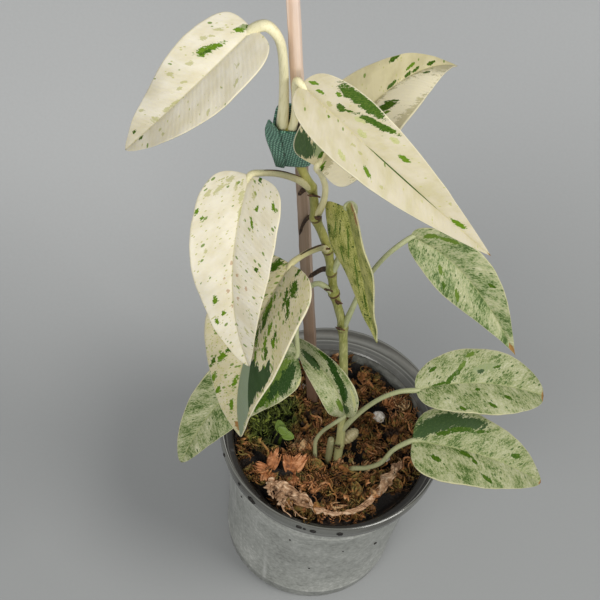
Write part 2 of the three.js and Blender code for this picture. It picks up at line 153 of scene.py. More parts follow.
# Matt coated board: dull, with a faint tooth, and a painted light falloff that leaves it darker at
# the front right. Here and below, a pattern's scale counts its cells in a metre, so 700 gives
# grains of 1.4 mm.
material, tree = new_material("matt_grey_table")
place = add_node(tree, "TexCoord").outputs["Object"]
# Painted light falloff: the board is painted lighter at the back left and darker at the front
# right.
back = add_node(tree, "VectorMath", {0: place, 1: (-0.5, 1, 0)}, operation="DOT_PRODUCT")
back = add_node(
    tree, "MapRange", {"Value": back.outputs["Value"], "From Min": 0.02, "From Max": 0.26},
    interpolation_type="SMOOTHSTEP")
weave = add_node(tree, "TexNoise", {"Vector": place, "Scale": 700.0, "Detail": 3.0})
tint = mix_colour(tree, back, "#9b9d9d", "#c2c4c4")
tooth = add_node(tree, "MapRange", {"Value": weave, "To Max": 0.14})
tint = mix_colour(tree, tooth, tint, "#8a8d8d")
finish_material(tree, tint, roughness=0.8, Specular_IOR_Level=0.2)
table.data.materials.append(material)


# Pot. A thin nursery pot of clear plastic, formed in one piece: frosted and damp below, with a
# stepped collar whose glossy rim is painted dark, as painted shade for the moss that would show
# through it.
POT_HEIGHT = 88
LEDGE_HEIGHT = 80
BASE_RADIUS = 33.3
THROAT_RADIUS = 40
COLLAR_RADIUS = 45
POT_WALL = 0.9
POT_OVAL = 0.02
POT_SIDES = 144
DRAIN_HOLES = 6
DRAIN_RADIUS = 3.5
DRAIN_REACH = 20


def pot_radius(height):
    """Outer radius of the pot's wall, in millimetres."""
    return BASE_RADIUS + (THROAT_RADIUS - BASE_RADIUS) * height / LEDGE_HEIGHT


def choose(made):
    """Makes one object the only one chosen."""
    bpy.ops.object.select_all(action="DESELECT")
    made.select_set(True)
    bpy.context.view_layer.objects.active = made


def shape_all(made, *steps):
    """Works on a whole mesh in edit mode, by operators that each come with their settings."""
    choose(made)
    bpy.ops.object.mode_set(mode="EDIT")
    for operator, settings in steps:
        bpy.ops.mesh.select_all(action="SELECT")
        operator(**settings)
    bpy.ops.object.mode_set(mode="OBJECT")


def linked(name, mesh):
    """Puts a new object with this mesh in the scene."""
    made = bpy.data.objects.new(name, mesh)
    bpy.context.collection.objects.link(made)
    return made


FACE_OUTWARDS = (bpy.ops.mesh.normals_make_consistent, {"inside": False})


def turned(name, profile, steps):
    """Spins a line of (radius, height) points, in millimetres, once round the upright axis."""
    mesh = bpy.data.meshes.new(name)
    links = [(i, i + 1) for i in range(len(profile) - 1)]
    mesh.from_pydata([(r * MM, 0, z * MM) for r, z in profile], links, [])
    made = linked(name, mesh)
    shape_all(
        made,
        (bpy.ops.mesh.spin, {
            "steps": steps, "angle": math.tau, "center": (0, 0, 0), "axis": (0, 0, 1)}),
        (bpy.ops.mesh.remove_doubles, {"threshold": 1e-5}),
        FACE_OUTWARDS,
    )
    return made


def apply_modifier(made, kind, **settings):
    """Adds a modifier to a piece and applies it."""
    choose(made)
    modifier = made.modifiers.new(kind.lower(), kind)
    for name, value in settings.items():
        setattr(modifier, name, value)
    bpy.ops.object.modifier_apply(modifier=modifier.name)


def stands_for(made, slot, *nodes):
    """Lets a piece ride on the plant's one body and stand for its CAD nodes."""
    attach(made, "root")
    if nodes:
        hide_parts(*nodes)


pot = turned("clear_pot", [
    (0, 0.5), (28.5, 0.5), (29.5, 0), (32.1, 0), (32.9, 0.3), (pot_radius(1.2), 1.2),
    (pot_radius(6), 6), (pot_radius(6.5) + 0.35, 6.6), (pot_radius(7.2), 7.3),
    (pot_radius(30), 30), (pot_radius(55), 55), (pot_radius(66), 66),
    (pot_radius(66.6) + 0.5, 66.7), (pot_radius(67.4), 67.5), (pot_radius(79), 79),
    (43.5, 79.6), (44.1, LEDGE_HEIGHT), (44.4, 83), (44.5, 83.5), (COLLAR_RADIUS, 84),
    (COLLAR_RADIUS, 87.4), (44.8, 87.85), (44.4, POT_HEIGHT), (44, 87.9), (43.8, 87.4),
    (43.4, 82.4), (42.9, 81.1), (42.2, 80.85), (39.6, 80.7), (39.1, 80.2),
    (pot_radius(60) - POT_WALL, 60), (pot_radius(30) - POT_WALL, 30),
    (pot_radius(2.2) - POT_WALL, 2.2), (31.6, 1.4), (0, 1.4),
], POT_SIDES)
for turn in range(DRAIN_HOLES):
    angle = math.tau * turn / DRAIN_HOLES
    bpy.ops.mesh.primitive_cylinder_add(
        vertices=24, radius=DRAIN_RADIUS * MM, depth=6 * MM,
        location=(DRAIN_REACH * MM * math.cos(angle), DRAIN_REACH * MM * math.sin(angle), 0),
    )
    drill = bpy.context.object
    apply_modifier(pot, "BOOLEAN", operation="DIFFERENCE", object=drill, solver="EXACT")
    bpy.data.objects.remove(drill)
for corner in pot.data.vertices:
    corner.co.y *= 1 + POT_OVAL * corner.co.z / (POT_HEIGHT * MM)
choose(pot)
bpy.ops.object.shade_smooth_by_angle(angle=math.radians(32))

# Thermoformed polypropylene. The frosting scatters light and takes the table's grey, with clouds of
# 17 mm, droplets of 1.6 mm and upright scuffs 4 mm wide. The collar is opaque: its dark rings are
# painted shade for the moss seen through the clear plastic, its pale rings and fine streaks round
# it are painted highlights, and its far side is painted lighter as painted light.
material, tree = new_material("frosted_clear_polypropylene")
place = add_node(tree, "TexCoord").outputs["Object"]
parts = add_node(tree, "SeparateXYZ", {0: place})
cloud = add_node(
    tree, "TexNoise", {"Vector": place, "Scale": 60.0, "Detail": 6.0, "Roughness": 0.7})
droplet = add_node(
    tree, "TexNoise", {"Vector": place, "Scale": 620.0, "Detail": 3.0, "Roughness": 0.6})
misted = add_node(tree, "Mix", {0: 0.5, 2: cloud, 3: droplet}, data_type="FLOAT")
body = add_node(tree, "ValToRGB", {0: misted}, stops=(
    (0.36, "#7b7d77"), (0.46, "#92948e"), (0.55, "#a1a39d"), (0.66, "#bcbdb7")))
scuffs = add_node(tree, "Mapping", {"Vector": place, "Scale": (260, 260, 30)})
scuff = add_node(tree, "TexNoise", {"Vector": scuffs, "Scale": 1.0, "Detail": 4.0})
scuff = add_node(
    tree, "MapRange", {"Value": scuff, "From Min": 0.6, "From Max": 0.75, "To Max": 0.5})
body = mix_colour(tree, scuff, body.outputs[0], "#c6c7c3")
flat = add_node(tree, "VectorMath", {0: place, 1: (1, 1, 0)}, operation="MULTIPLY")
reach = add_node(tree, "VectorMath", {0: flat}, operation="LENGTH").outputs["Value"]
waver = add_node(tree, "Math", {0: cloud, 1: 0.0004}, operation="MULTIPLY")
reach = add_node(tree, "Math", {0: reach, 1: waver}, operation="ADD")
step = add_node(tree, "MapRange", {"Value": reach, "From Min": 0.0385, "From Max": 0.0463})
# The collar's rings: dark ones are painted see-through shade, pale ones are painted highlights.
collar_painted_shade_and_highlights = add_node(tree, "ValToRGB", {0: step}, stops=(
    (0.0, "#1a1610"), (0.22, "#27241f"), (0.4, "#363430"), (0.46, "#66655f"), (0.5, "#2b2a26"),
    (0.6, "#3f3e3a"), (0.66, "#9a9b96"), (0.7, "#42413d"), (0.76, "#b3b4af"), (0.8, "#4a4945"),
    (0.88, "#74756f"), (0.92, "#484742"), (1.0, "#7b7d78")))
# Pale streaks round the collar: painted highlights.
streak = add_node(tree, "Mapping", {"Vector": place, "Scale": (110, 110, 1500)})
streak = add_node(
    tree, "TexNoise", {"Vector": streak, "Scale": 1.0, "Detail": 4.0, "Roughness": 0.7})
streak = add_node(
    tree, "MapRange", {"Value": streak, "From Min": 0.55, "From Max": 0.75, "To Max": 0.4})
collar_painted_shade_and_highlights = mix_colour(tree, streak, collar_painted_shade_and_highlights.outputs[0], "#8b8c87")
# Painted light: the far side of the collar is painted paler.
painted_far_rim_light = add_node(tree, "MapRange", {
    "Value": parts.outputs["Y"], "From Min": 0.01, "From Max": 0.04, "To Max": 0.4})
collar_painted_shade_and_highlights = mix_colour(tree, painted_far_rim_light, collar_painted_shade_and_highlights, "#8f908b")
high = add_node(tree, "MapRange", {
    "Value": parts.outputs["Z"], "From Min": 0.0785, "From Max": 0.0805})
skin = mix_colour(tree, high, body, collar_painted_shade_and_highlights)
gloss = add_node(tree, "MapRange", {"Value": high, "To Min": 0.45, "To Max": 0.14})
finish_material(tree, skin, roughness=gloss.outputs[0], bump=misted, depth=0.14,
                IOR=1.49, Coat_Weight=0.15, Coat_Roughness=0.1)
pot.data.materials.append(material)
stands_for(pot, "pot_plastic", "pot")


# Soil crumbs. Specks of wet peat stick where the pot was filled, most of them on the
# collar at the front and a few on the wall.
CRUMB_LIFT = 0.15
# Each crumb: its turn round the pot in degrees, its height and radius, and how wide it is.
CRUMBS = [
    (-151.5, 86, 0.7, 1.2), (-134, 86, 0.7, 1), (-124.5, 84.8, 1.15, 1.4), (-122.5, 84.2, 0.8, 1),
    (-96, 86, 0.9, 1.3), (-93, 85.6, 0.6, 1), (-88.5, 85.4, 0.9, 1.5), (-75, 85.2, 1.1, 1.2),
    (-42.5, 47, 0.8, 1), (-100, 58, 0.45, 1), (-112, 70.5, 0.5, 1.4), (-58, 66, 0.4, 1),
    (-140, 60, 0.5, 1), (-66, 52, 0.35, 1), (-84, 33, 0.4, 1), (-20, 71, 0.7, 1.2),
    (18, 64, 0.5, 1), (75, 70, 0.6, 1.4), (128, 58, 0.5, 1), (165, 74, 0.7, 1),
]


def joined(name, parts):
    """Joins parts into one named piece."""
    bpy.ops.object.select_all(action="DESELECT")
    for part in parts:
        part.select_set(True)
    bpy.context.view_layer.objects.active = parts[0]
    bpy.ops.object.join()
    made = bpy.context.object
    made.name = name
    bpy.ops.object.shade_smooth()
    return made


crumb_parts = []
for turn, height, size, spread in CRUMBS:
    angle = math.radians(turn)
    out = Vector((math.cos(angle), math.sin(angle), 0))
    side = out.cross(Vector((0, 0, 1)))
    reach = pot_radius(height) if height < LEDGE_HEIGHT else COLLAR_RADIUS + 0.1
    at = out * (reach + size * CRUMB_LIFT) + Vector((0, 0, height))
    at.y *= 1 + POT_OVAL * height / POT_HEIGHT
    bpy.ops.mesh.primitive_ico_sphere_add(subdivisions=2, radius=size * MM)
    crumb = bpy.context.object
    for corner in crumb.data.vertices:
        ray = corner.co / MM
        bump = 1 + 0.45 * noise.noise(ray * 1.7 / size + at)
        around, proud = ray.dot(side) * spread, ray.dot(out) * 0.45
        corner.co = (at + (side * around + out * proud + Vector((0, 0, ray.z))) * bump) * MM
    crumb_parts.append(crumb)
crumbs = joined("peat_crumbs", crumb_parts)

# Wet peat: almost black and rough, with brown grains of 0.7 mm.
material, tree = new_material("wet_black_peat")
place = add_node(tree, "TexCoord").outputs["Object"]
crust = add_node(tree, "TexNoise", {"Vector": place, "Scale": 1500.0, "Detail": 4.0})
dark = add_node(tree, "ValToRGB", {0: crust}, stops=((0.4, "#080605"), (0.65, "#1d150d")))
finish_material(tree, dark.outputs[0], roughness=0.6, bump=crust, depth=0.2)
crumbs.data.materials.append(material)
stands_for(crumbs, "moss")


# Substrate. Damp sphagnum and coir pressed into the pot, ten millimetres below the
# rim: a lumpy bed, with loose strands, leafy heads and sprigs, and curled dead leaves on it.
SOIL_LEVEL = 77
SOIL_FLOOR = 1.9
SOIL_RADIUS = pot_radius(SOIL_LEVEL) - 1.5
FOOT_RADIUS = BASE_RADIUS - 2
BED_RINGS = 40
LUMP_HEIGHT = 1.7
HOLLOW_DEPTH = 3.2
GRAINS = {
    "perlite_1": ((17.5, 14.5, 78.5), 2.4),
    "perlite_2": ((-15, 20.5, 77), 1.7),
    "perlite_3": ((24, -3, 78), 1.3),
}
# Bare rounds (x, y and radius) at the perlite, the two frills and the seedling.
CLEARINGS = [(*at[:2], size + 1) for at, size in GRAINS.values()]
CLEARINGS += [(-20.5, -18.5, 4.5), (-12.5, -18, 5), (-18, -6.5, 3.5), (-21, -3.5, 2.5)]
chance = random.Random(11)


def soil_height(x, y):
    """Height of the bed's surface over a point, in millimetres."""
    swell = 1.2 * math.sin(0.16 * x + 0.8) * math.cos(0.19 * y)
    return SOIL_LEVEL + swell + 0.8 * math.sin(0.37 * x - 0.31 * y + 1.1) - 0.03 * y


def hollow(x, y):
    """How deep a place lies in a dark hollow, or in the gap along the front, from 0 to 1."""
    gap = (math.hypot(x, y) - 36) / 2 if y < -abs(x + 6) * 0.5 else 0
    return min(1, max(0, -0.05 - noise.noise(Vector((x, y, 7)) * 0.13), gap) * 5)


bpy.ops.mesh.primitive_circle_add(
    vertices=120, radius=FOOT_RADIUS * MM, fill_type="NGON", location=(0, 0, SOIL_FLOOR * MM))
bed = bpy.context.object
bed.name = "moss_bed"
bpy.ops.object.transform_apply()
bpy.ops.object.mode_set(mode="EDIT")
bpy.ops.mesh.select_all(action="SELECT")
bpy.ops.mesh.extrude_region_move(
    TRANSFORM_OT_translate={"value": (0, 0, (SOIL_LEVEL - SOIL_FLOOR) * MM)})
bpy.ops.transform.resize(value=(SOIL_RADIUS / FOOT_RADIUS,) * 2 + (1,))
for ring in range(BED_RINGS):
    bpy.ops.mesh.inset(thickness=SOIL_RADIUS * MM / (BED_RINGS + 1))
bpy.ops.mesh.poke()
bpy.ops.object.mode_set(mode="OBJECT")
for corner in bed.data.vertices:
    x, y, z = corner.co / MM
    if z > SOIL_LEVEL - 1:
        lump = noise.fractal(Vector((x, y, 4)) * 0.16, 0.8, 2.1, 5) * LUMP_HEIGHT
        edge = min(1, (SOIL_RADIUS - math.hypot(x, y)) / 3)
        lift = (lump - HOLLOW_DEPTH * hollow(x, y)) * edge
        corner.co.z = (soil_height(x, y) - 0.6 + lift) * MM
shape_all(bed, FACE_OUTWARDS)
bpy.ops.object.shade_smooth()


def mossy_share(tree, place):
    """A share that is 1 where living green moss has settled, behind the seedling."""
    local = add_node(tree, "Mapping", {
        "Vector": place, "Location": (-0.025, 0.003, 0.078), "Scale": (0.012, 0.015, 0.02),
    }, vector_type="TEXTURE")
    reach = add_node(tree, "VectorMath", {0: local}, operation="LENGTH").outputs["Value"]
    edge = add_node(tree, "TexNoise", {"Vector": place, "Scale": 220.0, "Detail": 3.0})
    reach = add_node(tree, "Math", {0: reach, 1: edge}, operation="ADD")
    share = add_node(tree, "MapRange", {"Value": reach, "From Min": 1.65, "From Max": 1.2})
    return share.outputs[0]


# Wet sphagnum and coir dust: brown lumps of 6 mm and dust of 1 mm, with orange tips, and the low
# hollows painted near black as painted shade.
material, tree = new_material("damp_sphagnum_bed")
place = add_node(tree, "TexCoord").outputs["Object"]
coarse = add_node(
    tree, "TexNoise", {"Vector": place, "Scale": 160.0, "Detail": 8.0, "Roughness": 0.72})
fine = add_node(
    tree, "TexNoise", {"Vector": place, "Scale": 900.0, "Detail": 4.0, "Roughness": 0.7})
both = add_node(tree, "Mix", {0: 0.45, 2: coarse, 3: fine}, data_type="FLOAT")
tone = add_node(tree, "ValToRGB", {0: both}, stops=(
    (0.42, "#0b0602"), (0.52, "#211407"), (0.6, "#3f2911"), (0.68, "#64471f"), (0.76, "#8a6a3c")))
tone = mix_colour(tree, mossy_share(tree, place), tone.outputs[0], "#20260a")
height = add_node(tree, "SeparateXYZ", {0: place}).outputs["Z"]
# Painted shade: the bed is darkened to near black where it lies low, in the hollows under the loose
# moss.
painted_hollow_shade = add_node(tree, "MapRange", {
    "Value": height, "From Min": 0.0765, "From Max": 0.0745, "To Max": 0.85})
tone = mix_colour(tree, painted_hollow_shade, tone, "#070301")
finish_material(tree, tone, roughness=0.75, bump=both, depth=1.6)
bed.data.materials.append(material)
stands_for(bed, "moss", "substrate")


def swept(name, points, radii, roundness):
    """A round stalk along points, in millimetres, with its own radius at each."""
    bpy.ops.curve.primitive_nurbs_path_add()
    made = bpy.context.object
    made.name = name
    spline = made.data.splines[0]
    spline.type = "POLY"
    spline.points.add(len(points) - len(spline.points))
    for knot, point, radius in zip(spline.points, points, radii):
        knot.co = (*(Vector(point) * MM), 1)
        knot.radius = radius
    made.data.bevel_depth = MM
    made.data.bevel_resolution = roundness
    made.data.use_fill_caps = True
    bpy.ops.object.convert(target="MESH")
    made = bpy.context.object
    made.data.name = name
    shape_all(made, FACE_OUTWARDS)
    bpy.ops.object.shade_smooth()
    return made


def curled(length, turns, lift):
    """Points of one loose strand that lies round the origin, in millimetres."""
    heading = chance.uniform(0, math.tau)
    point = Vector((0, 0, 0))
    points = []
    for i in range(11):
        points.append(point.copy())
        heading += turns * math.sin(i * 0.9 + chance.uniform(-0.6, 0.6))
        point += Vector((math.cos(heading), math.sin(heading), 0)) * length / 10
    middle = sum(points, Vector()) / len(points)
    rises = [lift * math.sin(math.pi * i / 10) + chance.uniform(-0.15, 0.15) for i in range(11)]
    return [p - middle + Vector((0, 0, rise)) for p, rise in zip(points, rises)]


def scattered(name, patterns, spots):
    """Joins copies of patterns, each put in place by its own matrix and given its own tone."""
    shape = bmesh.new()
    tone = shape.verts.layers.float.new("tone")
    for number, matrix, value in spots:
        first = len(shape.verts)
        shape.from_mesh(patterns[number % len(patterns)].data)
        shape.verts.ensure_lookup_table()
        for vert in shape.verts[first:]:
            vert.co = matrix @ vert.co
            vert[tone] = value
    mesh = bpy.data.meshes.new(name)
    shape.to_mesh(mesh)
    shape.free()
    for pattern in patterns:
        bpy.data.objects.remove(pattern)
    made = linked(name, mesh)
    choose(made)
    bpy.ops.object.shade_smooth()
    return made


def on_the_bed(count, reach, low, high, tilt, sizes):
    """Random places on the bed within a reach, with a turn, a tilt and a size for each."""
    spots = []
    while len(spots) < count:
        angle = chance.uniform(0, math.tau)
        out = reach * math.sqrt(chance.random())
        x, y = out * math.cos(angle), out * math.sin(angle)
        cleared = any(math.dist((x, y), (a, b)) < bare for a, b, bare in CLEARINGS)
        if chance.random() < hollow(x, y) or cleared:
            continue
        dry = chance.random() ** 2
        height = soil_height(x, y) + chance.uniform(low, high)
        spots.append((
            len(spots),
            Matrix.Translation(Vector((x, y, height)) * MM)
            @ Matrix.Rotation(chance.uniform(0, math.tau), 4, "Z")
            @ Matrix.Rotation(chance.gauss(0, tilt), 4, "X")
            @ Matrix.Rotation(chance.gauss(0, tilt), 4, "Y")
            @ Matrix.Scale(sizes[0] + (sizes[1] - sizes[0]) * dry, 4),
            0.45 * chance.random() + 0.55 * dry,
        ))
    return spots


STRAND_TAPER = [0.15, 0.3, 0.38, 0.42, 0.44, 0.42, 0.4, 0.36, 0.3, 0.24, 0.12]
patterns = []
for _ in range(10):
    points = curled(chance.uniform(7, 14), chance.uniform(0.4, 1.0), chance.uniform(0.4, 2.2))
    radii = [radius * chance.uniform(0.7, 1.2) for radius in STRAND_TAPER]
    patterns.append(swept("strand", points, radii, roundness=0))
strands = scattered("moss_strands", patterns, on_the_bed(
    count=240, reach=36.4, low=-0.6, high=1.0, tilt=0.25, sizes=(0.5, 1.3)))

# The three rings of a moss leaf, as shares of its length outwards and upwards and of its width.
LEAFLET_RINGS = ((0, 0, 0.5), (0.5, 0.28, 1.0), (0.82, 0.7, 0.6))
LEAFLET_TIP = (0.9, 1.15)
LEAFLET_KEEL = 0.7


def leaflets(name, roots):
    """Small pointed moss leaves, each a bent three-sided spike from its root, out and then up."""
    shape = bmesh.new()
    for root, out, up, length, wide in roots:
        side = out.cross(up).normalized() * wide
        rings = []
        for reach, rise, width in LEAFLET_RINGS:
            middle = root + out * length * reach + up * length * rise
            rings.append([shape.verts.new(q * MM) for q in (
                middle + side * width, middle - side * width,
                middle - up * wide * LEAFLET_KEEL * width)])
        reach, rise = LEAFLET_TIP
        tip = shape.verts.new((root + out * length * reach + up * length * rise) * MM)
        shape.faces.new(rings[0])
        for low, high in zip(rings, rings[1:]):
            for k in range(3):
                shape.faces.new((low[k], low[(k + 1) % 3], high[(k + 1) % 3], high[k]))
        for k in range(3):
            shape.faces.new((rings[-1][k], rings[-1][(k + 1) % 3], tip))
    bmesh.ops.recalc_face_normals(shape, faces=shape.faces)
    mesh = bpy.data.meshes.new(name)
    shape.to_mesh(mesh)
    shape.free()
    return linked(name, mesh)


GOLDEN_TURN = 2.4


def moss_head(count, spread):
    """The leafy head of one moss plant: leaflets round a centre, some flat and some steep."""
    roots = []
    for i in range(count):
        turn = i * GOLDEN_TURN + chance.uniform(-0.9, 0.9)
        steep = chance.uniform(-0.1, 1.3)
        out = Vector((math.cos(turn), math.sin(turn), 0.15 + steep)).normalized()
        up = Vector((-0.35 * math.cos(turn), -0.35 * math.sin(turn), 1)).normalized()
        root = Vector((math.cos(turn), math.sin(turn), 0)) * 0.4
        length = spread * chance.uniform(0.35, 1.3)
        roots.append((root, out, up, length, chance.uniform(0.35, 0.8)))
    return leaflets("head", roots)


def leafy_sprig(length):
    """A short moss shoot lying down, set along both sides with pointed leaves."""
    shoot = curled(length, 0.3, 0.9)
    roots = []
    for i in range(1, 11):
        ahead = (shoot[i] - shoot[i - 1]).normalized()
        for hand in (-1, 1):
            aside = Vector((-ahead.y, ahead.x, 0.5)) * hand
            aside.z = abs(aside.z) * chance.uniform(0.2, 1.2)
            out = (aside.normalized() * 0.9 + ahead * 0.7).normalized()
            long = chance.uniform(0.6, 2.3)
            roots.append((shoot[i], out, Vector((0, 0, 1)), long, chance.uniform(0.3, 0.7)))
    return leaflets("sprig", roots)


def sheet(columns, rows, place_at):
    """A grid put in place by a function of the share along it, 0 to 1, and across, -1 to 1."""
    bpy.ops.mesh.primitive_grid_add(x_subdivisions=columns, y_subdivisions=rows, size=1)
    made = bpy.context.object
    for corner in made.data.vertices:
        corner.co = place_at(corner.co.x + 0.5, corner.co.y * 2) * MM
    return made


def thicken(made, thickness):
    """Gives a thin sheet its thickness, in millimetres."""
    apply_modifier(made, "SOLIDIFY", thickness=thickness * MM, offset=0)
    return made


CURL_THICKNESS = 0.3


def dead_curl(length, wide):
    """A dead moss leaf: a short ribbon that has curled up lengthwise and split at its tip."""
    seed, roll = chance.uniform(0, 90), chance.uniform(0.8, 2.6)

    def curl_point(t, v):
        bend = roll * t
        half = wide * (0.35 + 0.9 * math.sin(math.pi * (0.15 + 0.75 * t))) / 2
        crease = 0.55 * wide * noise.noise(Vector((t * 3.2, v * 1.4, seed)))
        reach = length * (1 + 0.35 * t * noise.noise(Vector((v * 2, 5, seed))))
        return Vector((reach * math.sin(bend) / roll, v * half + crease * 0.4,
                       reach * (1 - math.cos(bend)) / roll + crease + 0.25 * wide * v * v))

    return thicken(sheet(7, 3, curl_point), CURL_THICKNESS)


patterns = [moss_head(11, chance.uniform(2.0, 3.2)) for _ in range(9)]
heads = scattered("moss_heads", patterns, on_the_bed(
    count=420, reach=37.2, low=-1.2, high=0.6, tilt=0.6, sizes=(0.5, 1.7)))
patterns = [leafy_sprig(chance.uniform(5, 10)) for _ in range(9)]
sprigs = scattered("moss_sprigs", patterns, on_the_bed(
    count=360, reach=36.8, low=-0.6, high=1.1, tilt=0.45, sizes=(0.5, 1.4)))
patterns = [dead_curl(chance.uniform(3.5, 7), chance.uniform(1.4, 3)) for _ in range(14)]
curls = scattered("moss_curls", patterns, on_the_bed(
    count=420, reach=37.4, low=-0.6, high=1.4, tilt=0.7, sizes=(0.45, 1.25)))

# Dry and damp moss. Each strand and leaf has its own brown, some straw or orange, the ones
# behind the seedling green; patches of 13 mm change the tone and 0.9 mm grit darkens it.
material, tree = new_material("dried_sphagnum_strand")
place = add_node(tree, "TexCoord").outputs["Object"]
tone = add_node(tree, "Attribute", attribute_name="tone").outputs["Fac"]
patch = add_node(
    tree, "TexNoise", {"Vector": place, "Scale": 75.0, "Detail": 3.0, "Roughness": 0.6})
patch = add_node(tree, "MapRange", {"Value": patch, "From Min": 0.3, "From Max": 0.7})
mixed = add_node(tree, "Mix", {0: 0.55, 2: tone, 3: patch}, data_type="FLOAT")
dye = add_node(tree, "ValToRGB", {0: mixed}, stops=(
    (0.1, "#140a02"), (0.25, "#352008"), (0.36, "#694318"), (0.46, "#94632d"),
    (0.54, "#766c30"), (0.6, "#a86f3a"), (0.7, "#c98a58"), (0.86, "#cfae7e")))
living = add_node(tree, "ValToRGB", {0: tone}, stops=(
    (0.15, "#243009"), (0.45, "#4d5c18"), (0.8, "#8f9e3e")))
dye = mix_colour(tree, mossy_share(tree, place), dye.outputs[0], living.outputs[0])
grit = add_node(tree, "TexNoise", {"Vector": place, "Scale": 1100.0, "Detail": 3.0})
grime = add_node(
    tree, "MapRange", {"Value": grit, "From Min": 0.42, "From Max": 0.7, "To Max": 0.6})
dye = mix_colour(tree, grime, dye, "#221307")
finish_material(tree, dye, roughness=0.72, bump=grit, depth=0.25)
for made in (strands, heads, sprigs, curls):
    made.data.materials.append(material)
    stands_for(made, "moss")


# Stake. A square wooden stick pushed down through the moss behind the stem; its
# edges are slightly worn and wavy, and it ends in a plain sawn top.
STAKE_FOOT = Vector((0.3, 16.8, 6))
STAKE_TOP = Vector((-49.2, 16.8, 350))
STAKE_WIDTH = 4.2
STAKE_EDGE = 0.45
STAKE_CUTS = 90

lean = (STAKE_TOP - STAKE_FOOT).normalized()
tilt = lean.to_track_quat("Z", "Y").to_matrix().to_4x4()
stake_length = (STAKE_TOP - STAKE_FOOT).length
bpy.ops.mesh.primitive_cube_add(size=1, location=(0, 0, 0))
stake = bpy.context.object
stake.name = "wooden_stake"
stake.scale = (STAKE_WIDTH * MM, STAKE_WIDTH * MM, stake_length * MM)
bpy.ops.object.transform_apply()
apply_modifier(stake, "BEVEL", width=STAKE_EDGE * MM, segments=2)
shape_all(stake, *[(bpy.ops.mesh.bisect, {
    "plane_co": (0, 0, stake_length * MM * (cut / STAKE_CUTS - 0.5)), "plane_no": (0, 0, 1),
}) for cut in range(1, STAKE_CUTS)])
for corner in stake.data.vertices:
    x, y, z = corner.co / MM
    sway = noise.noise(Vector((0.5, 1.5, z * 0.035))) * 0.16
    wear = noise.noise(Vector((x * 0.4, y * 0.4, z * 0.16 + 9))) * 0.14
    corner.co.x = (x * (1 + wear * 0.4) + sway) * MM
    corner.co.y = (y * (1 + wear * 0.4) - sway) * MM
stake.data.transform(Matrix.Translation((STAKE_FOOT + STAKE_TOP) / 2 * MM) @ tilt)
choose(stake)
bpy.ops.object.shade_smooth_by_angle(angle=math.radians(40))

# Planed pine, left raw: pale above the tie, grey brown below it, partly from weathering and partly
# as painted shade under the leaves, with close darker grain of 1.1 mm along its length, and darker
# still near the moss, where a water stain and painted shade among the low leaves are laid as one.
material, tree = new_material("raw_planed_pine")
place = add_node(tree, "TexCoord").outputs["Object"]
along = add_node(tree, "Mapping", {
    "Vector": place, "Rotation": (0, math.atan2(lean.x, lean.z), 0)}, vector_type="TEXTURE")
fibre = add_node(tree, "Mapping", {"Vector": along, "Scale": (900, 900, 14)})
grain = add_node(
    tree, "TexNoise", {"Vector": fibre, "Scale": 1.0, "Detail": 6.0, "Roughness": 0.65})
band = add_node(tree, "Mapping", {"Vector": along, "Scale": (420, 420, 5)})
rings = add_node(
    tree, "TexNoise", {"Vector": band, "Scale": 1.0, "Detail": 3.0, "Distortion": 0.6})
both = add_node(tree, "Mix", {0: 0.45, 2: grain, 3: rings}, data_type="FLOAT")
wood = add_node(tree, "ValToRGB", {0: both}, stops=(
    (0.3, "#c7a188"), (0.42, "#e0bfa5"), (0.52, "#efd5c2"), (0.7, "#f6e4d6")))
height = add_node(tree, "SeparateXYZ", {0: place}).outputs["Z"]
# Below the tie the wood turns grey brown: partly weathering, partly painted shade under the leaves.
grey = add_node(tree, "MapRange", {"Value": height, "From Min": 0.285, "From Max": 0.255})
aged = add_node(tree, "MapRange", {
    "Value": rings, "From Min": 0.3, "From Max": 0.6, "To Min": 0.55, "To Max": 0.85})
grey = add_node(tree, "Math", {0: grey, 1: aged}, operation="MULTIPLY")
wood = mix_colour(tree, grey, wood.outputs[0], "#87705a")
# Low down it darkens further: a water stain from the moss together with painted shade among the
# lower leaves.
damp_stain_and_painted_shade = add_node(
    tree, "MapRange", {"Value": height, "From Min": 0.17, "From Max": 0.085, "To Max": 0.8})
wood = mix_colour(tree, damp_stain_and_painted_shade, wood, "#5a3c29")
finish_material(tree, wood, roughness=0.62, bump=both, depth=0.14)
stake.data.materials.append(material)
stands_for(stake, "stake_wood", "stake")


# Stem. The vine's one stem climbs from the moss and leans on the stake. It swells
# at each joint, where an old ring scar runs round it and a leaf stands.
def smooth_path(points, count):
    """Points evenly numbered along a Catmull-Rom line through the given ones."""
    given = [Vector(p) for p in points]
    given = [2 * given[0] - given[1], *given, 2 * given[-1] - given[-2]]
    spans = len(given) - 3
    line = []
    for i in range(count):
        at = spans * i / (count - 1)
        k = min(int(at), spans - 1)
        t = at - k
        a, b, c, d = given[k:k + 4]
        line.append(0.5 * (2 * b + (c - a) * t + (2 * a - 5 * b + 4 * c - d) * t * t
                           + (3 * b - a - 3 * c + d) * t ** 3))
    return line


STEM_PATH = [
    (6, -8, 30), (5.5, -8, 60), (4.5, -8, 81), (3.5, -7.5, 98), (1.5, -5, 118), (-1, -3, 136),
    (-5.5, 2, 162), (-9.5, 4, 175), (-12, 5, 182), (-14.5, 7, 192), (-18, 9, 205), (-21, 10, 213),
    (-25, 11, 222), (-27, 12, 232), (-29, 12, 240), (-33, 12, 249), (-38, 12, 262), (-42, 12, 276),
]
STEM_RADIUS = 1.7
STEM_LEAN = -24
STEM_STEPS = 240
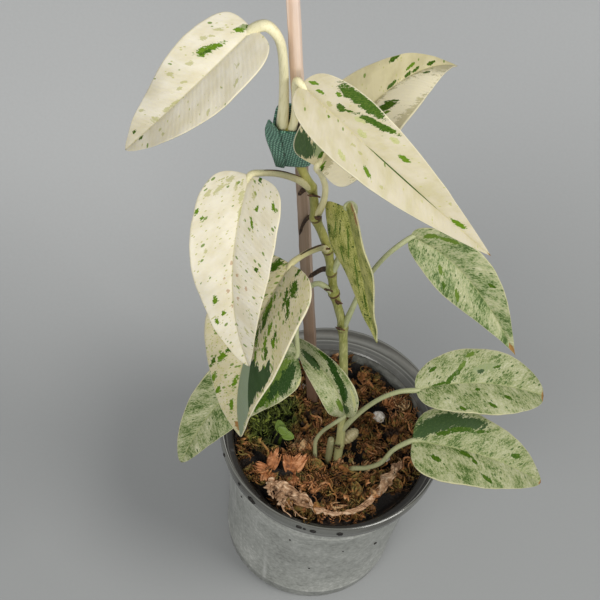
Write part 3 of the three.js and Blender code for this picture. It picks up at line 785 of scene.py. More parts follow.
# Each joint of the stem: its place and the radius that it swells to.
STEM_JOINTS = [
    ((4.2, -7.8, 90), 2.1), ((1.5, -5, 118), 2.1), ((-5.5, 2, 163), 2.4), ((-12, 5, 182), 2.4),
    ((-14.5, 7, 193), 2.3), ((-18, 9, 205), 2.4), ((-25, 11, 222), 2.4), ((-29, 12, 240), 2.3),
    ((-42, 12, 275), 2.1),
]
SWELL_LENGTH = 2.4
SCAR_DEPTH = 0.22
SCAR_AWAY = 1.6
SCAR_WIDTH = 0.35

route = smooth_path(STEM_PATH, STEM_STEPS)
radii = []
for point in route:
    radius = STEM_RADIUS + 0.06 * noise.noise(point * 0.2)
    for joint, swell in STEM_JOINTS:
        away = (point - Vector(joint)).length
        radius += ((swell - STEM_RADIUS) * math.exp(-(away / SWELL_LENGTH) ** 2)
                   - SCAR_DEPTH * math.exp(-((away - SCAR_AWAY) / SCAR_WIDTH) ** 2))
    radii.append(radius)
stem = swept("vine_stem", route, radii, roundness=4)


def joint_rings(tree, place, joints, wide, thin):
    """A share that is 1 inside flat rings round each joint, at sizes in millimetres."""
    nearest = None
    for joint, _ in joints:
        local = add_node(tree, "Mapping", {
            "Vector": place, "Location": Vector(joint) * MM,
            "Rotation": (0, math.radians(STEM_LEAN), 0),
            "Scale": (wide * MM, wide * MM, thin * MM)}, vector_type="TEXTURE")
        reach = add_node(tree, "VectorMath", {0: local}, operation="LENGTH").outputs["Value"]
        nearest = reach if nearest is None else add_node(
            tree, "Math", {0: nearest, 1: reach}, operation="MINIMUM").outputs[0]
    share = add_node(tree, "MapRange", {"Value": nearest, "From Min": 1.15, "From Max": 0.85})
    return share.outputs[0]


def stalk_skin(name, low, middle, high, streak, scar, joints=(), bottom=0.08, top=0.28):
    """Skin of a green stalk: colour by height, with fine streaks and brown scars at its joints."""
    material, tree = new_material(name)
    place = add_node(tree, "TexCoord").outputs["Object"]
    height = add_node(tree, "SeparateXYZ", {0: place}).outputs["Z"]
    rise = add_node(tree, "MapRange", {"Value": height, "From Min": bottom, "From Max": top})
    blotch = add_node(tree, "TexNoise", {"Vector": place, "Scale": 160.0, "Detail": 4.0})
    drift = add_node(tree, "MapRange", {"Value": blotch, "To Min": -0.35, "To Max": 0.35})
    wander = add_node(tree, "Math", {0: rise, 1: drift}, operation="ADD")
    skin = add_node(
        tree, "ValToRGB", {0: wander}, stops=((0.0, low), (0.5, middle), (1.0, high)))
    fibre = add_node(tree, "Mapping", {"Vector": place, "Scale": (1500, 1500, 90)})
    lines = add_node(
        tree, "TexNoise", {"Vector": fibre, "Scale": 1.0, "Detail": 4.0, "Roughness": 0.6})
    share = add_node(
        tree, "MapRange", {"Value": lines, "From Min": 0.5, "From Max": 0.72, "To Max": 0.5})
    skin = mix_colour(tree, share, skin.outputs[0], streak)
    if joints:
        ring = joint_rings(tree, place, joints, wide=3.4, thin=0.75)
        rough = add_node(tree, "MapRange", {"Value": blotch, "From Min": 0.35, "From Max": 0.6})
        ring = add_node(tree, "Math", {0: ring, 1: rough}, operation="MULTIPLY")
        skin = mix_colour(tree, ring, skin, scar)
    finish_material(tree, skin, roughness=0.42, bump=lines, depth=0.12, Specular_IOR_Level=0.45)
    return material


# Living stem skin: waxy olive green above, darker in the middle, paler and greyer near
# the moss, with streaks of 0.7 mm and corky brown scars.
stem.data.materials.append(stalk_skin(
    "waxy_olive_stem", "#a6a674", "#7a7d38", "#b5b062", "#cac587", "#4d3119", STEM_JOINTS))
stands_for(stem, "stem_skin", "stem")


# Dry sheaths. Papery brown scraps of old leaf sheaths still cling to the stem's joints.
# Each is given by its place, the way it points, its length, width and turn round the stem.
SCRAPS = [
    ((-27.6, 9.2, 239), (0.9, -0.25, 1), 5.5, 2.2, 30),
    ((-14.4, 2.6, 187), (0.5, -0.4, 1), 6, 2.0, 10),
    ((-9.8, 1.8, 181), (0.7, -0.3, 0.8), 4.5, 1.8, -30),
    ((-19.5, 6.4, 209), (0.6, -0.2, 1), 6, 1.7, 20),
    ((-6.6, -0.6, 166), (0.5, -0.4, 1), 6.5, 1.9, 0),
    ((-24.2, 8.4, 226), (0.4, -0.2, 1), 5.5, 1.6, -20),
    ((3.6, -10.2, 92), (0.2, -0.4, 1), 5, 1.7, 10),
]
SCRAP_THICKNESS = 0.22


def welded(made):
    """Joins the points of a sheet that lie closer than a fiftieth of a millimetre."""
    shape_all(made, (bpy.ops.mesh.remove_doubles, {"threshold": 2e-5}))
    return made


def sheath_scrap(at, ahead, length, width, turn):
    """A curled scrap that narrows to a torn point."""
    forward = Vector(ahead).normalized()
    out = Matrix.Rotation(math.radians(turn), 3, "Z") @ Vector((0, -1, 0.1))
    side = forward.cross(out).normalized()
    out = side.cross(forward)

    def scrap_point(t, v):
        reach = width * (1 - t) ** 0.7 * (1 + 0.25 * noise.noise(Vector((t * 5, v, length))))
        curl = 0.9 * t * t + 0.35 * noise.noise(Vector((t * 6, v * 2, width)))
        return (Vector(at) + forward * (t - 0.3) * length + side * reach * v * 0.7
                + out * (curl - 0.5 * v * v))

    return thicken(welded(sheet(12, 4, scrap_point)), SCRAP_THICKNESS)


scraps = joined("dry_sheath_scraps", [sheath_scrap(*scrap) for scrap in SCRAPS])


def papery(name, dark, middle, light, roughness=0.6):
    """Dry plant tissue: brown, with blotches of 4 mm, 1 mm streaks and a crinkled surface."""
    material, tree = new_material(name)
    place = add_node(tree, "TexCoord").outputs["Object"]
    blotch = add_node(
        tree, "TexNoise", {"Vector": place, "Scale": 260.0, "Detail": 6.0, "Roughness": 0.68})
    fibre = add_node(tree, "Mapping", {"Vector": place, "Scale": (300, 1100, 900)})
    lines = add_node(tree, "TexNoise", {"Vector": fibre, "Scale": 1.0, "Detail": 3.0})
    both = add_node(tree, "Mix", {0: 0.4, 2: blotch, 3: lines}, data_type="FLOAT")
    skin = add_node(
        tree, "ValToRGB", {0: both}, stops=((0.36, dark), (0.5, middle), (0.64, light)))
    finish_material(tree, skin, roughness=roughness, bump=both, depth=0.35)
    return material


# Dried leaf sheath: thin brown paper, lighter where it has split along its fibres.
dry_sheath_skin = papery("dry_brown_sheath", "#26170c", "#4f331c", "#8d6a42")
scraps.data.materials.append(dry_sheath_skin)
stands_for(scraps, "dried_foliage")


# Aerial roots and the cut petiole stub. Short corky roots leave the stem at its joints
# and feel for the stake; low down, one old petiole was cut off and left a stub.
# Each root: the points of its line, and its radius at the stem and at its tip.
ROOTS = {
    "aerial_root_1": (
        [(-25, 12.5, 220.5), (-27.5, 13.3, 217.5), (-29, 13.3, 212), (-29.5, 13.2, 204)],
        1.0, 0.45),
    "aerial_root_2": ([(-15.5, 8, 193), (-18.5, 11.5, 186), (-22.6, 13.5, 175)], 1.25, 0.75),
    "aerial_root_3": ([(-29.5, 12.8, 238.5), (-31.5, 13.4, 235), (-33, 13.3, 231)], 1.1, 0.7),
}
ROOT_STEPS = 40
STUB_RADIUS = 1.4
STUB_TOP = (0.3, -8.5, 94)

root_bark = papery("corky_brown_root", "#1f140b", "#3d291a", "#6b5238", 0.8)
for node, (points, thick, thin) in ROOTS.items():
    route = smooth_path(points, ROOT_STEPS)
    radii = []
    for i, point in enumerate(route):
        left = ROOT_STEPS - 1 - i
        radius = thick + (thin - thick) * i / (ROOT_STEPS - 1) + 0.14 * noise.noise(point * 0.9)
        radii.append(radius * min(1, 0.35 + left * 0.16))
    made = swept(node.replace("aerial_root", "stake_root"), route, radii, roundness=3)
    made.data.materials.append(root_bark)
    stands_for(made, "root_bark", node)

route = smooth_path([(1.2, -8.2, 66), (1, -8.3, 79), STUB_TOP], ROOT_STEPS)
radii = [STUB_RADIUS + 0.05 * noise.noise(point) for point in route]
radii[-3] -= 0.25
radii[-1] -= 0.5
stub = swept("cut_petiole_stub", route, radii, roundness=4)
stub.data.materials.append(stalk_skin(
    "cut_stub_skin", "#6e6440", "#8f8e66", "#a3a47e", "#7a6c43", "#4d3119",
    [((0.3, -8.5, 94.6), 1)], bottom=0.07, top=0.1))
stands_for(stub, "stem_skin", "petiole_stub")


# Tie. One turn of soft green hook-and-loop garden tape round the stake and the
# stem. The tail is pressed on at the front left, with its cut end standing free.
TIE_CENTRE = Vector((-38.9, 14.8, 267))
TIE_HEIGHT = 22
TIE_REACH = 5.9
TIE_CLOTH = 0.8
TIE_SEAM = -math.pi * 0.72
TIE_STEPS = 720
# The tail's two edges, from its foot to its cut end, as places right of and above the centre.
TAIL_LEFT = [(-6.6, -10.8), (-7.4, -3), (-8.4, 5.5), (-8.1, 12), (-6.0, 18.2)]
TAIL_RIGHT = [(-3.4, -10.8), (-2.7, -6), (-2.7, 4), (-3, 11), (-5.2, 18.6)]
TAIL_ROWS = 32
TAIL_WIDTH = 5.0
TAIL_LENGTH = 29
TAIL_FREE_FROM = 10.5

tie_up = Vector((-0.22, 0, 1)).normalized()
tie_right = Vector((tie_up.z, 0, -tie_up.x))
tie_back = Vector((0, 1, 0))


def tie_point(angle):
    """Local place on the loop, a rounded square round the stake, in millimetres."""
    return [TIE_REACH * math.copysign(abs(c) ** 0.5, c) for c in (math.cos(angle), math.sin(angle))]


outline = [tie_point(math.tau * i / TIE_STEPS + TIE_SEAM) for i in range(TIE_STEPS + 1)]
run = [0.0]
for a, b in zip(outline, outline[1:]):
    run.append(run[-1] + math.dist(a, b))
tie_girth = run[-1]


def along_tie(share):
    """Local place at a share of the way round the loop."""
    goal = share * tie_girth
    k = next(i for i in range(1, TIE_STEPS + 1) if run[i] >= goal - 1e-9)
    t = (goal - run[k - 1]) / max(1e-9, run[k] - run[k - 1])
    return [outline[k - 1][j] + (outline[k][j] - outline[k - 1][j]) * t for j in (0, 1)]


def tape(name, columns, rows, long, wide, place_at):
    """A sheet of tape whose map counts millimetres along it and across it."""
    made = sheet(columns, rows, place_at)
    made.name = name
    layer = made.data.uv_layers[0]
    layer.name = "tape_mm"
    for corner in layer.data:
        corner.uv = (corner.uv[0] * long, corner.uv[1] * wide)
    return made


def loop_point(u, v):
    """A place on the loop, which is a little pinched and wavy along its two edges."""
    x, y = along_tie(min(1, max(0, u)))
    pinch = 0.25 * math.sin(9 * u + 2) * v ** 2 + 0.15 * noise.noise(Vector((u * 9, v * 1.5, 2)))
    swell = 1 + pinch / TIE_REACH
    rise = v / 2 * TIE_HEIGHT * (1 - 0.02 * math.sin(12 * u))
    return TIE_CENTRE + tie_right * x * swell + tie_back * y * swell + tie_up * rise


def tail_point(u, v):
    """A place on the tail, which stands off the loop at its left edge and its cut end."""
    up = v / 2 + 0.5
    k = min(TAIL_ROWS, round(up * TAIL_ROWS))
    x, z = (left_edge[k] * (1 - u) + right_edge[k] * u).xz
    free = max(0, z - TAIL_FREE_FROM) / 8
    y = -TIE_REACH - TIE_CLOTH - 0.1 - 0.9 * free * free + 0.9 * (1 - u) ** 2 * (0.3 + up)
    return TIE_CENTRE + tie_right * x + tie_back * y + tie_up * z


loop = tape("tape_loop", 120, 28, tie_girth, TIE_HEIGHT, loop_point)
left_edge, right_edge = (
    smooth_path([(x, 0, z) for x, z in edge], TAIL_ROWS + 1) for edge in (TAIL_LEFT, TAIL_RIGHT))
tail = tape("tape_tail", 8, TAIL_ROWS, TAIL_WIDTH, TAIL_LENGTH, tail_point)
tie = joined("garden_tape", [thicken(part, TIE_CLOTH) for part in (loop, tail)])

# Nylon loop tape: green, felted with tiny loops in slanting rows that catch the light as
# paler dots 1 mm apart. The rows are drawn a little coarser than the real ones, to show.
material, tree = new_material("green_nylon_loop_tape")
flat = add_node(tree, "UVMap", uv_map="tape_mm")
slant = add_node(tree, "Mapping", {
    "Vector": flat, "Rotation": (0, 0, math.radians(108)), "Scale": (1.1, 0.85, 1)})
loops = add_node(tree, "TexVoronoi", {"Vector": slant, "Scale": 1.0, "Randomness": 0.18})
fuzz = add_node(tree, "TexNoise", {"Vector": flat, "Scale": 3.0, "Detail": 5.0, "Roughness": 0.7})
share = add_node(tree, "MapRange", {
    "Value": loops.outputs["Distance"], "From Min": 0.42, "From Max": 0.24})
green = add_node(tree, "ValToRGB", {0: fuzz}, stops=((0.35, "#1b4536"), (0.65, "#2f6b55")))
green = mix_colour(tree, share, green.outputs[0], "#76ad93")
weave = add_node(tree, "Mix", {0: 0.35, 2: share, 3: fuzz}, data_type="FLOAT")
finish_material(tree, green, roughness=0.85, bump=weave, depth=0.45,
                Sheen_Weight=0.25, Sheen_Roughness=0.5)
tie.data.materials.append(material)
stands_for(tie, "tie_tape", "tie")


# Leaves. Each is a blade, folded along its midrib, on its own petiole. The upper
# five are almost wholly cream with green splashes, the lower six are finely speckled.
# Places and sizes are in millimetres. A mark is its place along and across the blade,
# its half length and half width, and its turn in degrees.
LEAVES = [
    dict(
        name="leaf_01", kind="cream", radius=1.85, flecks=0.04, torn=1.1, knee=(0.42, 0.13),
        petiole=[
            (-43.8, 12.3, 275), (-45, 11.5, 293), (-47.5, 9.5, 318), (-50.5, 10, 331),
            (-55.5, 11, 336),
        ],
        foot=(-60, 10.5, 333), crown=(-77, -11.5, 319), tip=(-94.5, -22, 291),
        face=(-0.39, -0.55, 0.74), width=15.5, fold=22, belly=0.31, sharp=0.75, lobe=1,
        length=63.3,
        marks={
            "grey": [(1.4, 2.6, 2, 0.9, 40)],
            "olive": [
                (14.2, 10, 1.3, 0.6, 40), (12.2, 8.9, 1, 0.5, 40), (8.6, 8.5, 1.6, 0.6, 40),
                (23.9, 6.8, 1.5, 0.6, 35), (31.6, 9, 1.3, 0.6, 35), (30.2, 3.6, 1.3, 0.5, 30),
                (32.4, 3.1, 0.9, 0.5, 20), (12.5, -6.8, 1, 0.6, -30), (16.4, -11.6, 1.2, 0.5, -30),
                (46.8, 1.1, 1.9, 0.9, 10), (41.5, 0.9, 1.3, 0.6, 10), (48.4, 6.6, 1, 0.5, 30),
                (37.8, 0.6, 2.6, 0.5, 6), (46.8, -3.9, 0.9, 0.5, 0), (46.2, -6.1, 0.8, 0.5, 0),
                (29.3, -11.9, 1, 0.5, -30),
            ],
            "green": [(15, 5.6, 5.2, 1.2, 24), (18, 7, 2.4, 1.4, 20), (3.6, 3.1, 1.8, 0.8, 30)],
            "deep": [
                (17, 6, 2, 0.5, 24), (0.3, 2, 0.8, 0.5, 0), (55.8, 2.8, 0.7, 0.45, 0),
                (55.3, -0.7, 1, 0.5, 0),
            ],
        },
    ),
    dict(
        # This leaf's darker ground is painted shade, toning down the light that falls full on it.
        name="leaf_02", kind="cream", radius=1.5, flecks=0.03, ground=("#bfb795", "#cac2aa"),
        petiole=[
            (-40, 11.6, 275), (-40, 11.2, 283), (-40.8, 10.5, 295), (-42, 9.5, 306),
            (-41.8, 8, 312),
        ],
        foot=(-40, 6.5, 312.5), crown=(-2.5, -9, 296.5), tip=(38.5, -16, 266.5),
        face=(0.29, -0.56, 0.77), width=13.5, fold=26, belly=0.3, sharp=0.9, lobe=0.6, length=93.7,
        marks={
            "pale": [
                (25.4, -5.6, 2.4, 0.9, -20), (29.8, -2.2, 2.4, 1.1, 0), (39.6, -8.6, 2, 0.9, -20),
                (28.7, 9.8, 2.2, 1, 25),
            ],
            "olive": [
                (13, -2.1, 1.2, 0.7, 0), (29.5, 3.7, 0.8, 0.5, 0), (33.5, 4.3, 0.9, 0.5, 0),
                (46.9, 8.5, 0.9, 0.5, 0), (70, -4.8, 0.9, 0.5, 0),
            ],
            "green": [
                (27.6, -11.4, 3.4, 1.1, -9), (35.4, -10, 3.6, 1.1, -17),
                (7.2, -2.9, 1.5, 0.6, -20), (3.2, -3.6, 1.8, 0.6, -30), (13.3, -7, 1.1, 0.8, 0),
                (16.2, 1.9, 0.8, 0.5, 0), (47, -5.9, 2.6, 0.9, -12), (39.7, 8, 2.6, 0.8, 20),
                (77.4, -1.2, 3, 0.9, -8),
            ],
            "deep": [
                (21.5, -11.2, 10, 2.3, -6), (16, -9.8, 4.4, 1.8, -8), (31, -8.6, 8, 1.2, -17),
                (17.3, -3.9, 2, 1.2, 0), (20.5, -5.2, 1.6, 0.5, -25),
            ],
            "tan": [(93.4, 0, 1.4, 0.6, 0)],
            "line": [(51.5, 0, 17, 0.42, 0)],
        },
    ),
    dict(
        name="leaf_03", kind="cream", radius=1.3, skew=0.14, flecks=0.06, edge=(0.02, 0.5),
        # This leaf's darker ground is painted shade, for the shadow of leaf 2 above it.
        ground=("#bcb38c", "#cbc29b"),
        petiole=[(-25, 11, 222), (-23.5, 10, 235), (-24, 8.5, 248), (-26.5, 4.5, 262)],
        foot=(-28.5, 0.5, 272.5), crown=(-8, 32.5, 286), tip=(13, 56.5, 272), face=(0.01, 0, 1),
        width=17.5, fold=28, belly=0.25, sharp=1.1, lobe=2.2, length=69.7,
        marks={
            # The cream marks are painted light: they lighten the lower part of the lobe and the far
            # half of the blade, which lie in shade.
            "cream": [(0.5, 11.5, 6, 6, 0), (30, 7.5, 24, 6.2, -4)],
            "grey": [(3, -4.2, 1.8, 2.6, 0)],
            "slate": [(0.4, -10.2, 3, 4.2, 0), (1, -6.6, 2, 2.6, 0)],
            "green": [(23.6, 7.6, 2, 0.9, 30), (44.4, -3, 2.4, 0.5, -15), (1, 2, 0.9, 0.6, 0)],
            "deep": [
                (26.4, 6, 3.6, 2, 20), (41.8, -9, 3.6, 0.9, -12), (34.5, -1, 2.8, 0.6, -8),
                (42, -0.9, 1.8, 0.6, -10), (46, -1.1, 1.6, 0.5, -10), (54.4, -1.6, 2.2, 0.6, -8),
                (48.4, 2.6, 1.4, 0.6, 12), (3.1, -1.6, 1.6, 0.6, 0), (0.4, 2.8, 0.7, 0.5, 0),
            ],
        },
    ),
    dict(
        name="leaf_04", kind="cream", radius=1.4, flecks=0.16, torn=1.15, edge=(0.05, 0.8),
        petiole=[(-29, 12, 240), (-35, 8.5, 249), (-41.5, 2, 260), (-47, -3, 266)],
        foot=(-51, -6, 267.5), crown=(-49, -36, 244.5), tip=(-36.5, -49.5, 209.5),
        face=(-0.2, -0.81, 0.55), width=17, fold=20, belly=0.27, sharp=0.82, lobe=0.8, length=73.9,
        marks={
            "olive": [
                (8.5, 13.1, 1.5, 0.7, 35), (6.7, 9.7, 2, 0.9, 35), (4.3, 3.8, 1, 0.6, 0),
                (3.5, 2, 0.8, 0.5, 0), (27.2, 10.2, 0.8, 0.6, 0), (56.5, -4.3, 1.5, 0.6, -20),
                (7.2, 0.9, 2.6, 0.7, 0), (12.5, 0.3, 3, 0.6, 0), (3, 6.5, 1.6, 0.8, 35),
                (5.5, -4, 1.6, 0.6, -35),
            ],
            "green": [
                (16.7, 13.2, 0.8, 0.6, 30), (14.8, 15.9, 1.2, 0.5, 30), (8.4, -13.2, 2, 0.6, -30),
                (9.9, -6.7, 0.9, 0.6, 0), (15.2, -5.9, 1.8, 0.5, -25), (44.6, 6.7, 1.6, 0.9, 10),
                (49.6, 4, 0.9, 0.8, 0), (52.7, 6.9, 1.2, 0.7, 0),
            ],
            "deep": [(0.4, -4.6, 1.4, 0.7, 0), (31.1, -10.2, 0.9, 0.8, 0)],
            "rust": [
                (30.5, 0.6, 0.7, 0.5, 0), (39, -5.9, 0.8, 0.5, 0), (34.7, -2.3, 0.6, 0.5, 0),
                (41, 1.7, 0.6, 0.5, 0), (36.5, 2.9, 0.5, 0.4, 0), (43.6, -2.4, 0.6, 0.5, 0),
                (47, 0.8, 0.5, 0.4, 0),
            ],
        },
    ),
    dict(
        name="leaf_05", kind="cream", radius=1.3, ground=("#c4bb93", "#cfc7a8"),
        sectors=[(-1, 34.6, "#1c350f", "#8a967c")], flecks=0.6, torn=1.15, edge=(0.1, 0.85),
        petiole=[(-18, 9, 205), (-20.5, 5, 212), (-23.5, -1, 218.5), (-27, -9, 226)],
        foot=(-30, -14.5, 228), crown=(-39, -45, 205.5), tip=(-34, -59.5, 174),
        face=(-0.62, -0.58, 0.52), width=21.5, fold=18, belly=0.27, sharp=0.88, lobe=0.9,
        length=70.4,
        marks={
            "green": [
                (37.7, 9, 2.8, 1.1, 30), (47, 11.6, 2.6, 0.8, 25), (44.9, 1.6, 3.2, 0.7, 12),
                (55.5, 2.4, 3, 0.8, 8), (14.6, -2.2, 5, 1.5, -6), (19.9, -8, 2.2, 1.1, -25),
                (23.2, -13.2, 2.4, 0.9, -30), (30.4, 2.2, 1.3, 0.8, 0), (22, 11, 1, 0.6, 20),
                (28, 6.5, 1.2, 0.7, 20), (25, -9, 2.2, 0.8, -25), (30.5, -6, 1.8, 0.7, -20),
                (33, -13, 1.6, 0.7, -20), (17, 5, 1.8, 0.7, 25), (26.5, -4, 1.6, 0.8, -20),
                (51, 8.6, 2.2, 0.7, 22),
            ],
            "deep": [
                (18, -3.4, 4.2, 1.1, -10), (5.8, -9.4, 3, 1.7, -50), (9.4, -8, 3, 1.1, -30),
                (21, -12.4, 1.4, 0.9, 0), (10.5, -10.6, 2.4, 1, -40), (0.9, -6.2, 1.6, 0.7, 0),
                (2.3, 4.6, 3.8, 1.4, 30), (28, -11.5, 2.2, 0.9, -25), (13, -13, 2.4, 0.9, -35),
                (33.5, 6.5, 2, 0.8, 25), (41, 12.5, 2.2, 0.8, 25), (24, -2.6, 3, 0.8, -10),
            ],
            "tan": [(64.4, 0.2, 2.2, 1, 0)],
        },
    ),
    dict(
        name="leaf_06", kind="speckled", radius=1.2, ground=0.5, slant=0.1, streak=(0.2, 2.2),
        greens=("#364d16", "#5f7029", "#8a9045", "#abac62", "#c0bd76", "#ccc688"),
        petiole=[
            (-14.5, 7, 193), (-12.5, 9.5, 206), (-11.5, 11.5, 220), (-11.5, 12, 232),
            (-13.5, 11, 237),
        ],
        foot=(-15, 9, 237), crown=(-4.5, -5, 219.5), tip=(7.5, -16.5, 189.5),
        face=(-0.74, -0.67, 0.01), width=15, fold=18, belly=0.29, sharp=0.97, lobe=2.1,
        length=58.4,
        marks={
            "leafgreen": [
                (18, 3.4, 8, 0.5, 12), (31, 2.6, 8, 0.4, 6), (12, 9.4, 4, 0.5, 24),
                (24, 8.4, 5, 0.4, 8),
            ],
            "deep": [(12, 6.4, 4, 0.35, 22), (42, 1.4, 5, 0.3, 3)],
            "tan": [(4.4, -13.6, 2.6, 2, 0), (0, -11.4, 2.2, 1.6, 0)],
        },
    ),
    dict(
        name="leaf_07", kind="speckled", radius=1.1, ground=0.46, quilt=0.05,
        greens=("#485e30", "#697d4a", "#8a9669", "#a2a77f", "#b3b48e", "#c8c7a8"),
        petiole=[(-5.5, 2, 163), (-3.5, 4.5, 179), (-1.5, 7.5, 192), (4, 12.5, 205)],
        foot=(11.5, 18, 212.5), crown=(35.5, 11, 203.5), tip=(60, -0.5, 176),
        face=(0.16, -0.78, 0.61), width=11.5, fold=22, belly=0.44, sharp=1.1, lobe=1.2,
        length=63.5,
        marks={
            "leafgreen": [
                (8, -4.2, 3, 1, -35), (20.5, 5, 2.6, 0.9, 30), (33, 7.2, 2.6, 0.8, 28),
                (15, -7.2, 4, 0.9, -25),
            ],
            "deep": [(38.5, -6.2, 1.8, 0.7, -30), (26, 8.4, 2, 0.6, 30)],
            "tan": [(61.6, 0.2, 2.6, 1, 0)],
        },
    ),
    dict(
        name="leaf_08", kind="speckled", radius=1.1, ground=0.5,
        petiole=[
            (3.2, -7.2, 100), (6.5, -7.5, 112), (10.5, -7, 122.5), (15.5, -6.5, 132),
            (21.5, -5.5, 138),
        ],
        foot=(27.5, -4.5, 140), crown=(51, 3.5, 142.5), tip=(77, 11, 130.5),
        face=(0.22, -0.12, 0.97), width=14, fold=16, belly=0.5, sharp=0.51, lobe=0.6, length=52.7,
        marks={
            "grey": [(28, -6, 4.4, 1.6, -20)],
            "slate": [(26.5, -4.6, 1.4, 0.8, -20)],
            "leafgreen": [(19.4, -6.8, 3.4, 0.8, -48), (23, -11.4, 2.2, 0.8, -30)],
            "deep": [
                (15.2, -2.6, 4.2, 1, -40), (33, -7, 1.6, 0.6, -20), (30, 9.5, 1.8, 0.8, 30),
                (25, 3.2, 1.3, 0.7, 0), (37, 5.5, 1.6, 0.7, 30), (8, -6.5, 1.6, 0.7, -30),
                (10.4, -0.6, 4.6, 0.5, -4), (18, 11.6, 2, 0.7, 25),
            ],
            "tan": [(52.2, 1, 0.5, 3, 0)],
        },
    ),
    dict(
        name="leaf_09", kind="speckled", radius=1.1, ground=0.46,
        petiole=[
            (9.5, -10.5, 66), (10.5, -12, 79), (16.5, -14, 87), (21.5, -15, 96), (25, -14, 107),
        ],
        foot=(31, -12.5, 114.5), crown=(60, -11.5, 113.5), tip=(84.5, -10.5, 100.5),
        face=(0.25, -0.17, 0.95), width=16, fold=16, belly=0.3, sharp=0.67, lobe=0.6, length=55.3,
        marks={
            "slate": [(9, -8.6, 9, 3.6, -28), (19, -10.8, 7, 2.4, -12), (3.4, -4, 4, 2.2, -40)],
            "deep": [
                (16.5, -7.6, 5.2, 1.1, -14), (10.6, -5, 3, 0.9, -20), (24, -9, 2.2, 0.8, -20),
                (20, 2, 3.4, 0.8, 14), (9, 6.6, 2.2, 1, 30), (24, 4.2, 1.4, 0.8, 20),
                (30, 9.6, 3, 0.9, 20), (40, -4.6, 2.2, 0.9, -20),
            ],
            "tan": [(55, 1, 0.5, 3, 0)],
        },
    ),
    dict(
        name="leaf_10", kind="speckled", radius=1.1, ground=0.45,
        greens=("#3a5122", "#586b3a", "#7d875c", "#959a74", "#aaab8a", "#c4c3a8"),
        petiole=[(-12, 5, 182), (-19, 3, 189.5), (-23, -5, 192), (-23, -15.5, 186.5)],
        foot=(-20.5, -22.5, 178), crown=(-42.5, -36, 162), tip=(-54.5, -51, 127.5),
        face=(0, -0.87, 0.49), width=14.5, fold=22, belly=0.29, sharp=0.63, lobe=0.6, length=67.2,
        marks={
            "pale": [(4, -11.6, 5, 0.7, -40)],
            "slate": [(22, -3, 6, 1.6, -14)],
            "leafgreen": [(14, -6.6, 12, 4.8, -28)],
            "deep": [(23.4, -10.8, 4.4, 1.3, -18), (28, -11.2, 2.6, 0.9, -15)],
            "vivid": [
                (9.6, -8.4, 6.4, 2.8, -40), (5.2, -5.6, 4.2, 2, -45), (16.4, -9.4, 5.2, 1.8, -28),
                (18, -4.6, 5, 1.2, -24),
            ],
        },
    ),
    dict(
        name="leaf_11", kind="speckled", radius=0.9, ground=0.5, slant=0.2, streak=(0.3, 1.6),
        petiole=[
            (-3.5, -10, 66), (-4.5, -9.5, 80), (-5.5, -9.3, 91), (-3.7, -9.2, 100),
            (-0.5, -10, 109),
        ],
        foot=(3.2, -8.8, 115.5), crown=(-5, -7.2, 136), tip=(-24, 12, 131),
        face=(-0.02, -0.6, 0.8), width=8, fold=30, belly=0.42, sharp=0.72, lobe=0.5, length=37.6,
        marks={
            "pale": [(9.4, 5.4, 5, 0.6, 10)],
            "slate": [(29, -1, 3.8, 1.5, 4), (13, 3.4, 3, 0.7, 20), (5, 0.8, 3, 1.2, 0)],
            "leafgreen": [(8, -1.5, 4.4, 1, -6)],
            "deep": [(26.6, 5.2, 2.6, 1.2, 0)],
            "vivid": [(19.5, 3.9, 8.6, 1.5, 14), (13, 2, 4.4, 1.1, 12), (27.4, 0.2, 2, 0.6, 10)],
        },
    ),
]
VEIN_SLANT = 0.62
VEIN_PITCH = 4.1
BLADE_THICKNESS = 0.55
# The colours of the marks, in the order in which they lie over each other. The cream marks are
# painted light, laid first so that the green marks lie over them.
TONES = {
    "cream": "#efe6c6", "pale": "#bcbc88", "grey": "#8d976f", "slate": "#374d29",
    "olive": "#a6a55c", "leafgreen": "#5b742a", "green": "#5a7c10", "deep": "#355606",
    "vivid": "#1a3a02", "rust": "#a4744e", "tan": "#9a7044", "line": "#35520f",
}


def blade_point(leaf, s, v):
    """A point at shares s of the blade's length and v of its half width, with its flat place."""
    foot, crown, tip = Vector(leaf["foot"]), Vector(leaf["crown"]), Vector(leaf["tip"])
    pull = 2 * crown - (foot + tip) / 2
    spine = foot * (1 - s) ** 2 + pull * 2 * s * (1 - s) + tip * s * s
    forward = ((pull - foot) * (1 - s) + (tip - pull) * s).normalized()
    side = forward.cross(Vector(leaf["face"])).normalized()
    up = side.cross(forward)
    power = math.log(0.5) / math.log(leaf["belly"])
    swell = max(0, math.sin(math.pi * min(1, s) ** power)) ** leaf["sharp"]
    ragged = 1 + 0.018 * noise.noise(Vector((s * 14, math.copysign(3, v), leaf["width"])))
    width = leaf["width"] * (1 + leaf.get("skew", 0) * v) * swell * ragged
    back = -leaf["lobe"] * s * (1 - s) ** 6 * leaf["length"] * abs(v)
    fold = math.radians(leaf["fold"])
    ripple = math.sin(math.tau * (2.2 * s + 0.35 * (v > 0) - 0.35 * (v < 0)))
    ripple *= math.sin(math.pi * s)
    lift = abs(v) * width * math.sin(fold) + (0.8 * ripple - 0.12 * width) * v * v
    across = v * width
    along = s * leaf["length"]
    rake = along + back - VEIN_SLANT * abs(across)
    quilt = math.cos(math.tau * rake / VEIN_PITCH) * min(1, abs(across) / 3)
    quilt *= leaf.get("quilt", 0.02)
    groove = -0.32 * math.exp(-(across / 0.75) ** 2) * (1 - 0.6 * s)
    dimple = 0.45 * noise.noise(Vector((along, across, leaf["width"])) * 0.12) * abs(v) ** 0.5
    lift += (quilt * (1 - v ** 4) + dimple) * min(1, 6 * swell) + groove
    point = spine + forward * back + side * across * math.cos(fold) + up * lift
    return point, up, (along + back, across)


